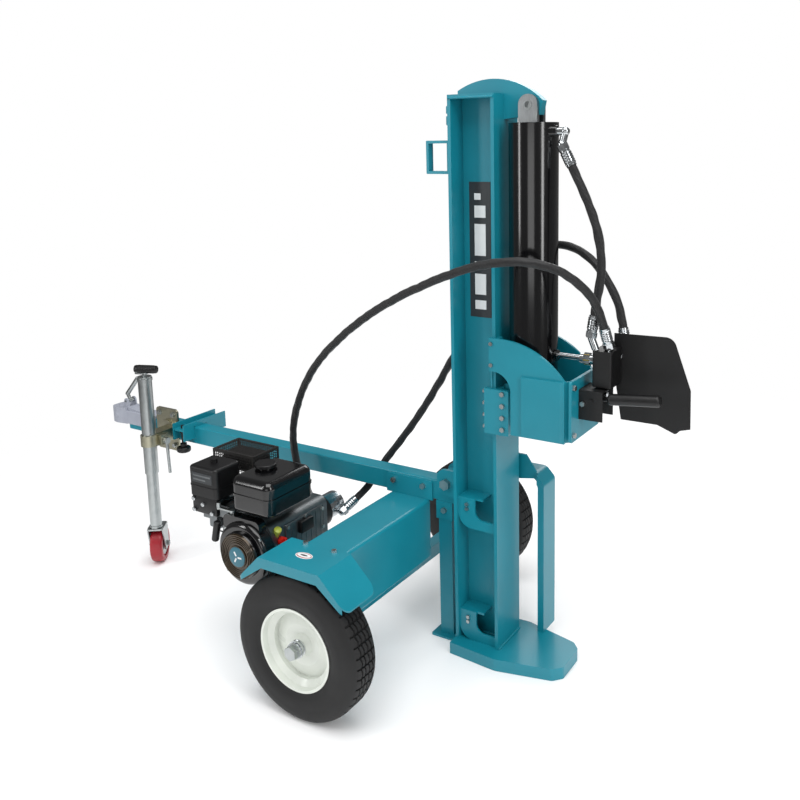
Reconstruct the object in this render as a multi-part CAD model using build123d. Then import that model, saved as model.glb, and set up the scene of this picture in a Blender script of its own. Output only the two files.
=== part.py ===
from build123d import *
import math
import os

# A towable log splitter that splits upright or lying down, in millimetres.
# Origin: middle of the foot plate's underside, below the front face of the splitting beam.
# +X points from the beam to the working side, -X along the tongue to the tow coupling,
# -Y is the engine side and +Z is up. The beam stands upright, as it does for splitting.

# Splitting beam
beam_depth = 144.0
beam_width = 140.0
beam_top = 1641.0
flange_thick = 10.0
web_thick = 8.0
cap_thick = 8.0
arch_thick = 25.0
arch_peak = beam_top + 39.0
arch_reach = 116.0
handle_reach = 76.0
handle_bar = 8.0
handle_width = 24.0
handle_y = -50.0
handle_low = beam_top - 214.0
handle_high = handle_low + 92.0
catch_reach = 43.5
catch_thick = 10.0
catch_slot = 7.0
catch_slot_depth = 19.0

# Foot plate and log fence
foot_thick = 36.0
foot_front = 202.0
foot_rear = -146.0
foot_kink_x = 12.0
foot_kink_half = 116.0
foot_rear_half = 103.0
foot_shoulder_x = 178.0
foot_shoulder_half = 78.0
foot_front_half = 52.0
fence_left = 57.0
fence_thick = 20.0
fence_width = 80.0
fence_y = 80.0
fence_top = 541.0
fence_root = -96.0

# Beam side brackets
bracket_thick = 6.0
bracket_inset = 9.0
bracket_lows = (36.0, 394.0)
bracket_height = 94.0
bracket_leg = 56.0
bracket_foot = 30.0

# Stripper cage
strip_inner_half = 86.0
strip_plate = 8.0
strip_wrap = 6.0
strip_bottom = 716.0
strip_top = 983.0
strip_front = 232.0
strip_wrap_start = 93.0
strip_wrap_top = 887.0
strip_mount_low = 889.0
strip_notch = 58.0

# Hydraulic cylinder and ram
cyl_x = 83.0
cyl_outer = 135.0
cyl_wall = 10.0
cyl_bore = cyl_outer - 2 * cyl_wall
cyl_bottom = 882.0
cyl_top = beam_top - 79.0
cap_depth = 17.0
gland_depth = 25.0
lug_thick = 13.0
lug_gap = 0.5
lug_half = 28.0
lug_centre_z = beam_top - 33.0
clevis_pin_dia = 25.0
rod_dia = 50.0
piston_depth = 32.0
piston_clear = 0.06
rod_clear = 0.05
rod_end_z = 846.0
port_z = 933.0

# Wedge carriage
slide_clear = 0.5
carriage_low = 706.0
carriage_high = 836.0
carriage_plate = 16.0
carriage_front = 46.0
cheek_half = 84.0
gib_depth = 20.5
gib_overlap = 7.0
bolt_head_room = 10.0
wedge_front = 196.0
wedge_thick = 50.0
wedge_shoulder = 92.0

# Valve, lever and guard
front_plate_thick = 8.0
valve_x0 = 268.0
valve_x1 = 322.0
valve_y0 = -28.0
valve_y1 = 50.0
valve_z0 = 866.0
valve_z1 = 964.0
bracket_y0 = -50.0
bracket_y1 = 30.0
bracket_z0 = 778.0
lever_pivot_x = 276.0
lever_pivot_z = 832.0
lever_y = -30.0
lever_bar = 12.0
lever_grip_start = 316.0
lever_grip_length = 142.0
lever_grip_dia = 31.0
lever_rise = 6.0
guard_thick = 3.0

# Tongue, pivot and support leg
tongue_width = 54.0
tongue_height = 63.5
tongue_top = 506.0
tongue_wall = 4.0
tongue_front = -1632.0
tongue_rear = -228.0
pivot_x = -190.0
pivot_z = 505.0
pivot_bolt_dia = 20.0
pivot_clear = 0.05
pivot_plate = 10.0
pivot_gap = 0.5
leg_size = 46.0
leg_wall = 4.0
leg_x = -204.0
leg_foot = 90.0
leg_foot_thick = 6.0
sleeve_wall = 5.0
sleeve_low = 385.0
leg_clear = 0.3
leg_travel = 50.0

# Tank, axle, fender
tank_x0 = -399.0
tank_x1 = -256.0
axle_z = 205.0
axle_tube = 40.0
saddle_height = 21.0
tank_z0 = axle_z + axle_tube / 2 + saddle_height
tank_z1 = 439.0
tank_end = -455.0
tank_wall = 4.0
axle_x = -336.0
spindle_dia = 25.0
spindle_clear = 0.05
wheel_near_y = -524.0
wheel_far_y = 405.0
fender_thick = 3.0
fender_x0 = -446.0
fender_x1 = -243.0
fender_drop = 84.0
fender_y0 = -571.0
fender_y1 = -437.0
fender_lip = 26.0

# Road wheels
tyre_radius = axle_z
tyre_width = 105.0
rim_radius = 114.0
rim_sheet = 4.0
hub_outer = 40.0
hub_half = 46.0

# Cradle and tow coupling
cradle_x0 = -1330.0
cradle_x1 = -1272.0
cradle_low = 465.0
cradle_high = 525.0
cradle_wall = 5.0
cradle_near = -78.0
cradle_far = 124.0
ball_x = tongue_front - 58.0
ball_z = 490.0
ball_socket_dia = 50.6
coupler_half = 31.5
coupler_top = 511.0
coupler_dome = 529.0
coupler_rear = -1480.0
coupler_low = 462.0

# Jockey wheel
jockey_x = -1380.0
jockey_y = -142.0
jockey_outer = 48.0
jockey_tube_low = 352.0
jockey_tube_top = jockey_tube_low + 360.0
jockey_stem_dia = 41.0
jockey_clear = 0.4
jockey_wheel_radius = 65.0
jockey_wheel_width = 44.0
jockey_turn = 36.0
jockey_trail = 28.0
jockey_crank_turn = 20.0

# Engine
crank_x = -630.0
crank_height = 104.0
pto_y = -160.0
engine_floor = tank_z0 + 2
crank_z = engine_floor + crank_height
plate_thick = 8.0
recoil_radius = 95.0
recoil_y0 = -452.0
recoil_y1 = -410.0
recoil_cup_radius = 70.0
recoil_cup_depth = 14.0
shaft_dia = 20.0
shaft_clear = 0.05
bell_radius = 50.0
bell_length = 60.0
pump_radius = 40.0
pump_length = 78.0

# Hoses: outside diameter over the textile sleeve, crimped ferrule size
hose_dia = 24.0
ferrule_dia = 27.0
ferrule_length = 46.0
hex_dia = 32.0

# Hose routes, chosen by hand from end face to end face
route_cylinder = [
    (203, -20, 1448), (238, -20, 1380), (278, -20, 1285), (291, -20, 1185),
    (278, -19, 1110), (270, -18, 1060),
]
route_pressure = [
    (-712, -78, 415), (-733, -85, 478), (-742, -92, 560), (-722, -102, 650),
    (-672, -114, 752), (-598, -127, 850), (-498, -140, 938), (-386, -152, 1018),
    (-268, -163, 1085), (-142, -173, 1142), (-12, -178, 1192), (108, -168, 1214),
    (202, -136, 1200), (262, -90, 1150), (292, -50, 1090), (300, -27, 1030),
]
route_return = [
    (-556, -8, 372), (-538, 28, 398), (-518, 58, 445), (-482, 74, 502),
    (-430, 84, 570), (-372, 94, 650), (-312, 104, 745), (-252, 113, 850),
    (-190, 121, 960), (-118, 126, 1070), (-30, 127, 1165), (70, 120, 1225),
    (160, 106, 1222), (230, 92, 1180), (280, 82, 1115), (308, 76, 1058),
    (316, 74, 1012),
]


# ---------------------------------------------------------------- shape helpers
def block(x0, x1, y0, y1, z0, z1):
    size = (x1 - x0, y1 - y0, z1 - z0)
    return Pos((x0 + x1) / 2, (y0 + y1) / 2, (z0 + z1) / 2) * Box(*size)


def rod_z(x, y, z0, z1, dia):
    return Pos(x, y, (z0 + z1) / 2) * Cylinder(dia / 2, z1 - z0)


def rod_y(x, z, y0, y1, dia):
    return Pos(x, (y0 + y1) / 2, z) * Rot(90, 0, 0) * Cylinder(dia / 2, y1 - y0)


def rod_x(y, z, x0, x1, dia):
    return Pos((x0 + x1) / 2, y, z) * Rot(0, 90, 0) * Cylinder(dia / 2, x1 - x0)


def rod_between(start, end, dia):
    a = Vector(*start)
    b = Vector(*end)
    return extrude(Plane(a, z_dir=(b - a)) * Circle(dia / 2), (b - a).length)


def slab_xz(points, y0, y1, rounds=()):
    """Plate with an outline in X and Z, from y0 to y1; rounds are (point number, radius)."""
    outline = Plane((0, y1, 0), x_dir=(1, 0, 0), z_dir=(0, -1, 0))
    face = make_face(Polyline(*points, close=True))
    for number, radius in rounds:
        corner = face.vertices().sort_by_distance((points[number][0], points[number][1], 0))[0]
        face = fillet(corner, radius)
    return extrude(outline * face, y1 - y0)


def slab_xy(points, z0, z1, rounds=()):
    """Plate with an outline in X and Y, from z0 to z1; rounds are (point number, radius)."""
    face = make_face(Polyline(*points, close=True))
    for number, radius in rounds:
        corner = face.vertices().sort_by_distance((points[number][0], points[number][1], 0))[0]
        face = fillet(corner, radius)
    return extrude(Plane((0, 0, z0)) * face, z1 - z0)


def slab_yz(points, x0, x1):
    """Plate with an outline in Y and Z, from x0 to x1."""
    outline = Plane((x0, 0, 0), x_dir=(0, 1, 0), z_dir=(1, 0, 0))
    return extrude(outline * make_face(Polyline(*points, close=True)), x1 - x0)


def round_edges(body, axis, radius):
    return fillet(body.edges().filter_by(axis), radius)


def hex_head(dia, height):
    return extrude(RegularPolygon(dia / 2, 6), height)


def head_at(point, direction, dia, height):
    """Hexagon bolt head that stands on a point and rises along a direction."""
    return Plane(Vector(*point), z_dir=Vector(*direction)) * hex_head(dia, height)


def hose(route):
    """Tube of straight runs joined by tangent arcs as large as the runs allow."""
    points = [Vector(*point) for point in route]
    radii = []
    for before, here, after in zip(points, points[1:], points[2:]):
        first = here - before
        second = after - here
        turn = math.radians(first.get_angle(second))
        radii.append(0.45 * min(first.length, second.length) / math.tan(turn / 2))
    print("hose radii", [round(radius) for radius in radii])
    path = FilletPolyline(*points, radius=radii)
    section = Plane(points[0], z_dir=(points[1] - points[0])) * Circle(hose_dia / 2)
    tube = sweep(section, path)
    area = math.pi * hose_dia ** 2 / 4
    print("hose length", round(path.length), "volume ratio", round(tube.volume / area / path.length, 4))
    return tube


def ferrule(route, at_end):
    """Crimped ferrule and swivel nut that meet a hose end face to face."""
    ends = (route[-1], route[-2]) if at_end else (route[0], route[1])
    tip = Vector(*ends[0])
    away = (tip - Vector(*ends[1])).normalized()
    sleeve_end = tip + away * ferrule_length
    sleeve = rod_between(tuple(tip), tuple(sleeve_end), ferrule_dia)
    nut = Plane(sleeve_end, z_dir=away) * hex_head(hex_dia, 16)
    return sleeve + nut, sleeve_end + away * 16


# ---------------------------------------------------------------- splitting beam
cheek_in = beam_width / 2 + slide_clear


def make_beam():
    half = beam_width / 2
    body_top = beam_top - cap_thick
    front = block(-flange_thick, 0, -half, half, foot_thick, body_top)
    back = block(-beam_depth, flange_thick - beam_depth, -half, half, foot_thick, body_top)
    web = block(-beam_depth + 1, -1, -web_thick / 2, web_thick / 2, foot_thick, body_top)
    cap = block(-beam_depth, 0, -half, half, body_top - 1, beam_top)
    return front + back + web + cap + arch_lug() + latch_catch()


def arch_lug():
    top = ThreePointArc((-beam_depth, beam_top + 12), (-16, arch_peak), (arch_reach, beam_top - 22))
    rest = Polyline(
        (arch_reach, beam_top - 22), (108, beam_top - 59), (-1, beam_top - 68), (-1, beam_top - 1),
        (-beam_depth, beam_top - 1), (-beam_depth, beam_top + 12),
    )
    outline = Plane((0, arch_thick / 2, 0), x_dir=(1, 0, 0), z_dir=(0, -1, 0))
    plate = extrude(outline * make_face([top, rest]), arch_thick)
    hole = rod_y(cyl_x - 5, lug_centre_z, -arch_thick, arch_thick, clevis_pin_dia + 0.2)
    return plate - hole


def latch_catch():
    slot_z = pivot_z + (pivot_x - (cradle_x1 - cradle_wall / 2))
    reach = -beam_depth - catch_reach
    plate = block(reach, -beam_depth + 1, -catch_thick / 2, catch_thick / 2, slot_z - 29, slot_z + 25)
    slot = block(
        reach - 1, reach + catch_slot_depth, -catch_thick, catch_thick,
        slot_z - catch_slot / 2, slot_z + catch_slot / 2,
    )
    return round_edges(plate, Axis.Y, 4) - slot


def make_foot_plate():
    points = [
        (foot_rear, -foot_rear_half), (foot_kink_x, -foot_kink_half),
        (foot_shoulder_x, -foot_shoulder_half), (foot_front, -foot_front_half),
        (foot_front, foot_front_half), (foot_shoulder_x, foot_shoulder_half),
        (foot_kink_x, foot_kink_half), (foot_rear, foot_rear_half),
    ]
    rounds = [(1, 60), (2, 22), (3, 16), (4, 16), (5, 22), (6, 60)]
    return slab_xy(points, 0, foot_thick, rounds)


def make_fence():
    """Bent bar that stops the log on the far side, tied to the web behind the carriage."""
    right = fence_left + fence_thick
    under = fence_top - fence_thick
    points = [
        (fence_root, under), (fence_left - 20, under), (fence_left, under - 18),
        (fence_left, foot_thick), (right, foot_thick), (right, fence_top - 30),
        (right - 28, fence_top), (fence_root, fence_top),
    ]
    bar = slab_xz(points, fence_y, fence_y + fence_width, [(2, 14), (5, 20), (6, 24)])
    arm_y = cheek_half + bolt_head_room
    bar -= block(fence_root - 1, fence_left - 4, fence_y - 1, arm_y, under - 24, fence_top + 1)
    gusset = slab_xz(
        [(fence_root, 496), (46, under), (46, fence_top), (12, 590), (fence_root, 590)],
        arm_y, arm_y + 6,
    )
    tie = block(fence_root, fence_root + 8, web_thick / 2, arm_y + 6, 496, 590)
    return bar + gusset + tie


def make_lift_handle():
    x0 = -beam_depth - handle_reach
    y0 = handle_y - handle_width / 2
    y1 = handle_y + handle_width / 2
    outer = round_edges(block(x0, -beam_depth, y0, y1, handle_low, handle_high), Axis.Y, 3)
    bar = handle_bar
    inner = block(x0 + bar, -beam_depth, y0 - 1, y1 + 1, handle_low + bar, handle_high - bar)
    leg = block(-beam_depth - bar, -beam_depth, y0, y1, handle_low + 1, handle_high - 1)
    return outer - inner + leg


def side_bracket(low, side):
    """J-shaped plate in the channel of the beam, one foot against each flange."""
    x0 = -beam_depth + flange_thick
    x1 = -flange_thick
    top = low + bracket_height
    points = [
        (x0, low), (x1, low), (x1, low + bracket_foot), (x0 + bracket_leg, low + bracket_foot),
        (x0 + bracket_leg, top), (x0, top),
    ]
    outer = side * (beam_width / 2 - bracket_inset)
    inner = outer - side * bracket_thick
    plate = slab_xz(points, min(outer, inner), max(outer, inner), [(0, 44), (3, 26)])
    web_side = side * web_thick / 2
    shelf = block(
        x0, x0 + 80, min(inner, web_side), max(inner, web_side), top - bracket_thick, top
    )
    return plate + shelf


def pivot_plate_pair():
    """Ears on the back flange that carry the tilt pivot."""
    ears = []
    for side in (-1, 1):
        near = side * (tongue_width / 2 + pivot_gap)
        far = side * (tongue_width / 2 + pivot_gap + pivot_plate)
        points = [(-beam_depth, 462), (-beam_depth, 548), (-222, 548), (-222, 470)]
        ear = slab_xz(points, min(near, far), max(near, far), [(2, 26), (3, 30)])
        hole = rod_y(pivot_x, pivot_z, -60, 60, pivot_bolt_dia + 2 * pivot_clear)
        ears.append(ear - hole)
    return ears


def make_side_brackets():
    plates = [side_bracket(low, side) for low in bracket_lows for side in (-1, 1)]
    return Compound(plates + pivot_plate_pair())


# ---------------------------------------------------------------- stripper cage
def stripper_side(side):
    low = strip_bottom
    high = strip_top
    front = strip_front - 14
    arc = ThreePointArc((12, high), (150, 948), (front, strip_wrap_top))
    notch = ThreePointArc((strip_notch, 838), (42, 875), (-8, strip_mount_low))
    outline = [
        arc,
        Line((front, strip_wrap_top), (front, low)),
        Line((front, low), (strip_notch, low)),
        Line((strip_notch, low), (strip_notch, 838)),
        notch,
        Line((-8, strip_mount_low), (-8, high)),
        Line((-8, high), (12, high)),
    ]
    outer = side * (strip_inner_half + strip_plate)
    inner = side * strip_inner_half
    plane = Plane((0, max(outer, inner), 0), x_dir=(1, 0, 0), z_dir=(0, -1, 0))
    plate = extrude(plane * make_face(outline), strip_plate)
    edge = side * beam_width / 2
    spacer = block(
        -flange_thick, 10, min(inner, edge), max(inner, edge), strip_mount_low + 4, high - 4
    )
    shoe_in = side * 45
    shoe = block(0, 10, min(edge, shoe_in), max(edge, shoe_in), strip_mount_low + 4, high - 4)
    return plate + spacer + shoe


def make_stripper_cage():
    """Two quarter-round side plates and the bent wrap that joins them in front."""
    half = strip_inner_half + strip_plate + strip_wrap
    inner = half - strip_wrap
    front = strip_front
    bend = 24
    outer_line = [
        (strip_wrap_start, -half), (front - bend, -half), (front, -half + bend),
        (front, half - bend), (front - bend, half), (strip_wrap_start, half),
    ]
    inner_front = front - strip_wrap
    inner_line = [
        (strip_wrap_start, inner), (front - bend - 2, inner), (inner_front, half - bend - 2),
        (inner_front, -half + bend + 2), (front - bend - 2, -inner), (strip_wrap_start, -inner),
    ]
    wrap = slab_xy(outer_line + inner_line, 719, strip_wrap_top)
    return stripper_side(-1) + stripper_side(1) + wrap


def make_stripper_front():
    """Plate bolted to the wrap that carries the valve and its lever."""
    half = strip_inner_half + 11
    x0 = strip_front
    x1 = strip_front + front_plate_thick
    plate = block(x0, x1, -half, half, 723, 890)
    return round_edges(plate, Axis.X, 6)


# ---------------------------------------------------------------- cylinder and ram
def make_cylinder_barrel():
    tube = rod_z(cyl_x, 0, cyl_bottom, cyl_top, cyl_outer)
    bore = rod_z(cyl_x, 0, cyl_bottom - 1, cyl_top - cap_depth, cyl_bore)
    port_top = rod_x(-20, cyl_top - 24, cyl_x + 50, cyl_x + 80, 30)
    port_low = rod_x(0, port_z, cyl_x + 55, cyl_x + 75, 30)
    oil_top = rod_x(-20, cyl_top - 26, cyl_x + 30, cyl_x + 90, 14)
    oil_low = rod_x(0, port_z, cyl_x + 40, cyl_x + 90, 14)
    return tube + port_top + port_low - bore - oil_top - oil_low


def make_cylinder_head():
    """Pair of lugs welded on the closed end of the barrel."""
    lugs = []
    for side in (-1, 1):
        near = side * (arch_thick / 2 + lug_gap)
        far = near + side * lug_thick
        x0 = cyl_x - 5 - lug_half
        x1 = cyl_x - 5 + lug_half
        top = lug_centre_z + lug_half
        points = [(x0, cyl_top), (x1, cyl_top), (x1, top), (x0, top)]
        rounds = [(2, lug_half - 1), (3, lug_half - 1)]
        lug = slab_xz(points, min(near, far), max(near, far), rounds)
        lugs.append(lug - rod_y(cyl_x - 5, lug_centre_z, -60, 60, clevis_pin_dia + 0.2))
    return Compound(lugs)


def make_cylinder_gland():
    ring = rod_z(cyl_x, 0, cyl_bottom, cyl_bottom + gland_depth, cyl_bore)
    lip = rod_z(cyl_x, 0, cyl_bottom - 8, cyl_bottom, cyl_outer - 8)
    bore_dia = rod_dia + 2 * rod_clear
    return ring + lip - rod_z(cyl_x, 0, cyl_bottom - 9, cyl_bottom + gland_depth + 1, bore_dia)


def make_clevis_pin():
    reach = arch_thick / 2 + lug_gap + lug_thick
    pin = rod_y(cyl_x - 5, lug_centre_z, -reach - 1, reach + 10, clevis_pin_dia)
    bore = rod_y(cyl_x - 5, lug_centre_z, -reach - 2, -reach + 6, 17)
    washer = rod_y(cyl_x - 5, lug_centre_z, reach, reach + 3, 38)
    return pin - bore + washer


def make_piston_rod():
    rod = rod_z(cyl_x, 0, rod_end_z, cyl_top - cap_depth - 1 - piston_depth + 1, rod_dia)
    top = cyl_top - cap_depth - 1
    piston = rod_z(cyl_x, 0, top - piston_depth, top, cyl_bore - 2 * piston_clear)
    return rod + piston


def make_wedge_carriage():
    low = carriage_low
    high = carriage_high
    plate = block(slide_clear, carriage_plate, -cheek_half, cheek_half, low, high)
    cheeks = [
        block(-flange_thick - slide_clear, carriage_front, min(a, b), max(a, b), low, high)
        for a, b in ((-cheek_half, -cheek_in), (cheek_in, cheek_half))
    ]
    rounded = [round_edges(cheek, Axis.Y, 5) for cheek in cheeks]
    x1 = -flange_thick - slide_clear + 1
    x0 = x1 - gib_depth
    inner = beam_width / 2 - gib_overlap
    keepers = [
        block(x0, x1 - 1, min(a, b), max(a, b), low, high)
        + block(x0, x1, min(a, c), max(a, c), low, high)
        for a, b, c in ((-cheek_half, -inner, -cheek_in), (cheek_half, inner, cheek_in))
    ]
    return plate + rounded[0] + rounded[1] + keepers[0] + keepers[1]


def make_wedge():
    """Splitting wedge: thick at the head, ground to a blunt edge at the foot."""
    half = wedge_thick / 2
    edge_z = carriage_low + 2
    section = [
        (-half, rod_end_z), (-half, edge_z + wedge_shoulder), (-1.5, edge_z),
        (1.5, edge_z), (half, edge_z + wedge_shoulder), (half, rod_end_z),
    ]
    blade = slab_yz(section, carriage_plate, wedge_front)
    head = block(carriage_plate, 140, -46, 46, rod_end_z - 22, rod_end_z)
    return blade + head


def make_carriage_bolts():
    """Bolt heads of the keeper bars and of the cheeks."""
    pieces = []
    back = -flange_thick - slide_clear + 1 - gib_depth
    rows = [carriage_low + 18 + row * 34 for row in range(4)]
    for side in (-1, 1):
        for z in rows:
            pieces.append(head_at((back, side * (cheek_in + cheek_half) / 2, z), (-1, 0, 0), 12, 6))
            pieces.append(head_at((28, side * cheek_half, z), (0, side, 0), 15, 7))
    return Compound(pieces)


# ---------------------------------------------------------------- valve group
def make_valve_body():
    body = round_edges(block(valve_x0, valve_x1, valve_y0, valve_y1, valve_z0, valve_z1), Axis.Z, 5)
    neck = rod_z(296, 10, valve_z0 - 6, valve_z0 + 1, 34)
    cap = rod_z(296, 24, valve_z1 - 1, valve_z1 + 16, 26)
    return body + neck + cap


def make_lever_bracket():
    x0 = strip_front + front_plate_thick
    x1 = 307
    top = valve_z0 - 6
    back = block(x0, x0 + 4, bracket_y0, bracket_y1, bracket_z0, top)
    near = block(x0, x1, bracket_y0, bracket_y0 + 4, bracket_z0, top)
    far = block(x0, x1, bracket_y1 - 4, bracket_y1, bracket_z0, top)
    roof = block(x0, x1, bracket_y0, bracket_y1, top - 4, top)
    ear_hole = rod_y(lever_pivot_x, lever_pivot_z, bracket_y0 - 1, bracket_y1 + 1, 10.2)
    return back + near + far + roof - ear_hole


def make_valve_lever():
    """Pivot pin, flat bar and moulded grip in one, tilted up a little at the grip."""
    pin = rod_y(lever_pivot_x, lever_pivot_z, bracket_y0 - 3, bracket_y1 + 3, 10)
    start = (lever_pivot_x, lever_y + 4, lever_pivot_z)
    grip_a = (lever_grip_start, lever_y, lever_pivot_z + lever_rise)
    grip_b = (lever_grip_start + lever_grip_length, lever_y, lever_pivot_z + lever_rise + 14)
    boss = rod_y(lever_pivot_x, lever_pivot_z, lever_y - 12, lever_y + 20, 24)
    bar = rod_between(start, grip_a, lever_bar)
    grip = rod_between(grip_a, grip_b, lever_grip_dia)
    grip = fillet(grip.edges().filter_by(GeomType.CIRCLE), 8)
    return pin + boss + bar + grip


def make_guard_plate():
    points = [
        (300, 1000), (462, 1003), (511, 866), (513, 762), (486, 754), (474, 742),
        (424, 761), (322, 761), (300, 900),
    ]
    plate = slab_xz(points, valve_y1, valve_y1 + guard_thick, [(1, 30), (5, 8)])
    return plate - rod_y(310, 940, valve_y1 - 1, valve_y1 + guard_thick + 1, 26)


def make_mast_fittings():
    """Adapters, elbows and crimped ferrules on the barrel and the valve."""
    top_ferrule, top_end = ferrule(route_cylinder, False)
    elbow = rod_x(-20, 1538, 163, 184, 22)
    joint = Pos(*top_end) * Sphere(13)
    knuckle = Pos(184, -20, 1538) * Sphere(12)
    port_a, end_a = ferrule(route_cylinder, True)
    port_p, end_p = ferrule(route_pressure, True)
    port_r, end_r = ferrule(route_return, True)
    foot_a = rod_between(tuple(end_a), (273, -14, valve_z1), 20)
    foot_p = rod_between(tuple(end_p), (303, -10, valve_z1), 20)
    drop_r = rod_between(tuple(end_r), (316, 74, 938), 20)
    turn_r = rod_y(310, 938, valve_y1, 72, 22)
    nipple = rod_x(0, port_z, cyl_x + 75, 226, 16)
    union = rod_x(0, port_z, 225, valve_x0, 28)
    collar = Plane(Vector(236, 0, port_z), z_dir=(1, 0, 0)) * hex_head(36, 18)
    groups = [
        top_ferrule + joint + elbow + knuckle + rod_between((184, -20, 1538), tuple(top_end), 20),
        port_a + trim_below(foot_a, valve_z1),
        port_p + trim_below(foot_p, valve_z1),
        port_r + drop_r + turn_r,
        nipple + union + collar,
    ]
    return Compound(groups)


def trim_below(body, level):
    """Cuts off what lies below a level face."""
    return body - block(150, 450, -150, 150, level - 60, level)


# ---------------------------------------------------------------- tongue and frame
def make_tongue():
    half = tongue_width / 2
    low = tongue_top - tongue_height
    outer = round_edges(block(tongue_front, tongue_rear, -half, half, low, tongue_top), Axis.X, 5)
    w = tongue_wall
    inner = block(tongue_front - 1, tongue_rear + 1, -half + w, half - w, low + w, tongue_top - w)
    return outer - inner


def make_tongue_end():
    """Pivot block on the tongue with the leg socket welded under it."""
    half = tongue_width / 2
    low = tongue_top - tongue_height
    points = [(tongue_rear, low), (-160, low), (-160, pivot_z + 27), (tongue_rear, pivot_z + 27)]
    head = slab_xz(points, -half, half, [(2, 24), (3, 24)])
    head -= rod_y(pivot_x, pivot_z, -60, 60, pivot_bolt_dia + 2 * pivot_clear)
    pocket = leg_size / 2 + leg_clear
    head -= block(tongue_rear - 1, leg_x + pocket, -pocket, pocket, low - 1, low + leg_travel)
    wide = leg_size / 2 + leg_clear + sleeve_wall
    socket = block(leg_x - wide, leg_x + wide, -wide, wide, sleeve_low, low)
    return head + socket - leg_core(leg_size + 2 * leg_clear, sleeve_low - 1, low + 1)


def leg_core(size, low, high):
    return block(leg_x - size / 2, leg_x + size / 2, -size / 2, size / 2, low, high)


def make_support_leg():
    top = tongue_top - tongue_height - 3
    post = leg_core(leg_size, leg_foot_thick, top)
    hollow = leg_core(leg_size - 2 * leg_wall, leg_foot_thick, top + 1)
    half = leg_foot / 2
    foot = block(leg_x - half, leg_x + half, -half, half, 0, leg_foot_thick)
    return post - hollow + round_edges(foot, Axis.Z, 6)


def make_hydraulic_tank():
    y1 = -tongue_width / 2
    outer = round_edges(block(tank_x0, tank_x1, tank_end, y1, tank_z0, tank_z1), Axis.Y, 10)
    w = tank_wall
    inner = block(tank_x0 + w, tank_x1 - w, tank_end + w, y1 - w, tank_z0 + w, tank_z1 - w)
    return outer - inner


def make_tank_brackets():
    """Tongue flange, axle saddles, axle strut and the engine shelf."""
    face = -tongue_width / 2
    flange = slab_xz(
        [(-412, tank_z1), (-243, tank_z1), (-243, 500), (-412, 500)],
        face - 6, face, [(2, 8), (3, 8)],
    )
    top = axle_z + axle_tube / 2
    saddles = [
        block(axle_x - 24, axle_x + 24, y - 30, y + 30, top, tank_z0) for y in (-420, -90)
    ]
    strut = block(axle_x - 20, axle_x + 20, -18, 18, top, tongue_top - tongue_height)
    shelf_low = engine_floor - plate_thick
    shelf = block(crank_x - 100, tank_x0, -396, -196, shelf_low, engine_floor)
    shelf = round_edges(shelf, Axis.Z, 8)
    return Compound([flange] + saddles + [strut, shelf])


def make_axle():
    """Square axle tube with a turned spindle at each end."""
    half = axle_tube / 2
    near_in = wheel_near_y + hub_half + 4
    far_in = wheel_far_y - hub_half - 4
    bar = block(axle_x - half, axle_x + half, near_in, far_in, axle_z - half, axle_z + half)
    near_out = wheel_near_y - hub_half - 13
    far_out = wheel_far_y + hub_half + 13
    return bar + rod_y(axle_x, axle_z, near_out, far_out, spindle_dia)


def axle_nuts():
    nuts = []
    for y, side in ((wheel_near_y, -1), (wheel_far_y, 1)):
        face = y + side * (hub_half + 1)
        nut = head_at((axle_x, face, axle_z), (0, side, 0), 40, 17)
        washer = rod_y(axle_x, axle_z, min(face, face + side * 3), max(face, face + side * 3), 44)
        a, b = sorted((face - side, face + side * 12))
        nuts.append(nut + washer - rod_y(axle_x, axle_z, a, b, spindle_dia))
    return nuts


def make_fender():
    """Bent mudguard: flat top, two sloping ends and a turned-down outer edge."""
    z = tank_z1
    t = fender_thick
    d = fender_drop
    skin = [
        (fender_x0 - d, z - d), (fender_x0, z), (fender_x1, z), (fender_x1 + d, z - d),
        (fender_x1 + d, z - d + 1.4 * t), (fender_x1 + 0.4 * t, z + t),
        (fender_x0 - 0.4 * t, z + t), (fender_x0 - d, z - d + 1.4 * t),
    ]
    sheet = slab_xz(skin, fender_y0, fender_y1)
    lip_drop = fender_lip
    lip = [
        (fender_x0 - d, z - d - 5), (fender_x0 + 8, z - lip_drop),
        (fender_x1 - 8, z - lip_drop), (fender_x1 + d, z - d - 12),
        (fender_x1 + d, z - d + t), (fender_x1, z + t), (fender_x0, z + t), (fender_x0 - d, z - d + t),
    ]
    skirt = slab_xz(lip, fender_y0, fender_y0 + t)
    plan = block(fender_x0 - d, fender_x1 + d, fender_y0, fender_y1, z - d - 40, z + 40)
    return (sheet + skirt) & round_edges(plan, Axis.Z, 24)


def make_frame_bolts():
    """Pivot bolt, leg bolt, bracket, fender and engine bolts, and the axle nuts."""
    side = tongue_width / 2 + pivot_gap + pivot_plate
    shank = rod_y(pivot_x, pivot_z, -side - 14, side + 14, pivot_bolt_dia)
    ends = [
        head_at((pivot_x, -side - 1, pivot_z), (0, -1, 0), 34, 13),
        head_at((pivot_x, side + 1, pivot_z), (0, 1, 0), 34, 13),
    ]
    pieces = [shank + ends[0] + ends[1]]
    wall = leg_size / 2 + leg_clear + sleeve_wall
    pieces.append(head_at((leg_x, -wall, sleeve_low + 30), (0, -1, 0), 19, 8))
    for x in (-384, -276):
        pieces.append(head_at((x, -tongue_width / 2 - 6, 480), (0, -1, 0), 19, 8))
    for x in (-388, -289):
        pieces.append(head_at((x, -448, tank_z1 + fender_thick), (0, 0, 1), 15, 6))
    for x in (crank_x - 84, crank_x + 88):
        for y in (-382, -212):
            pieces.append(head_at((x, y, engine_floor + 12), (0, 0, 1), 13, 6))
    return Compound(pieces + axle_nuts())


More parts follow.
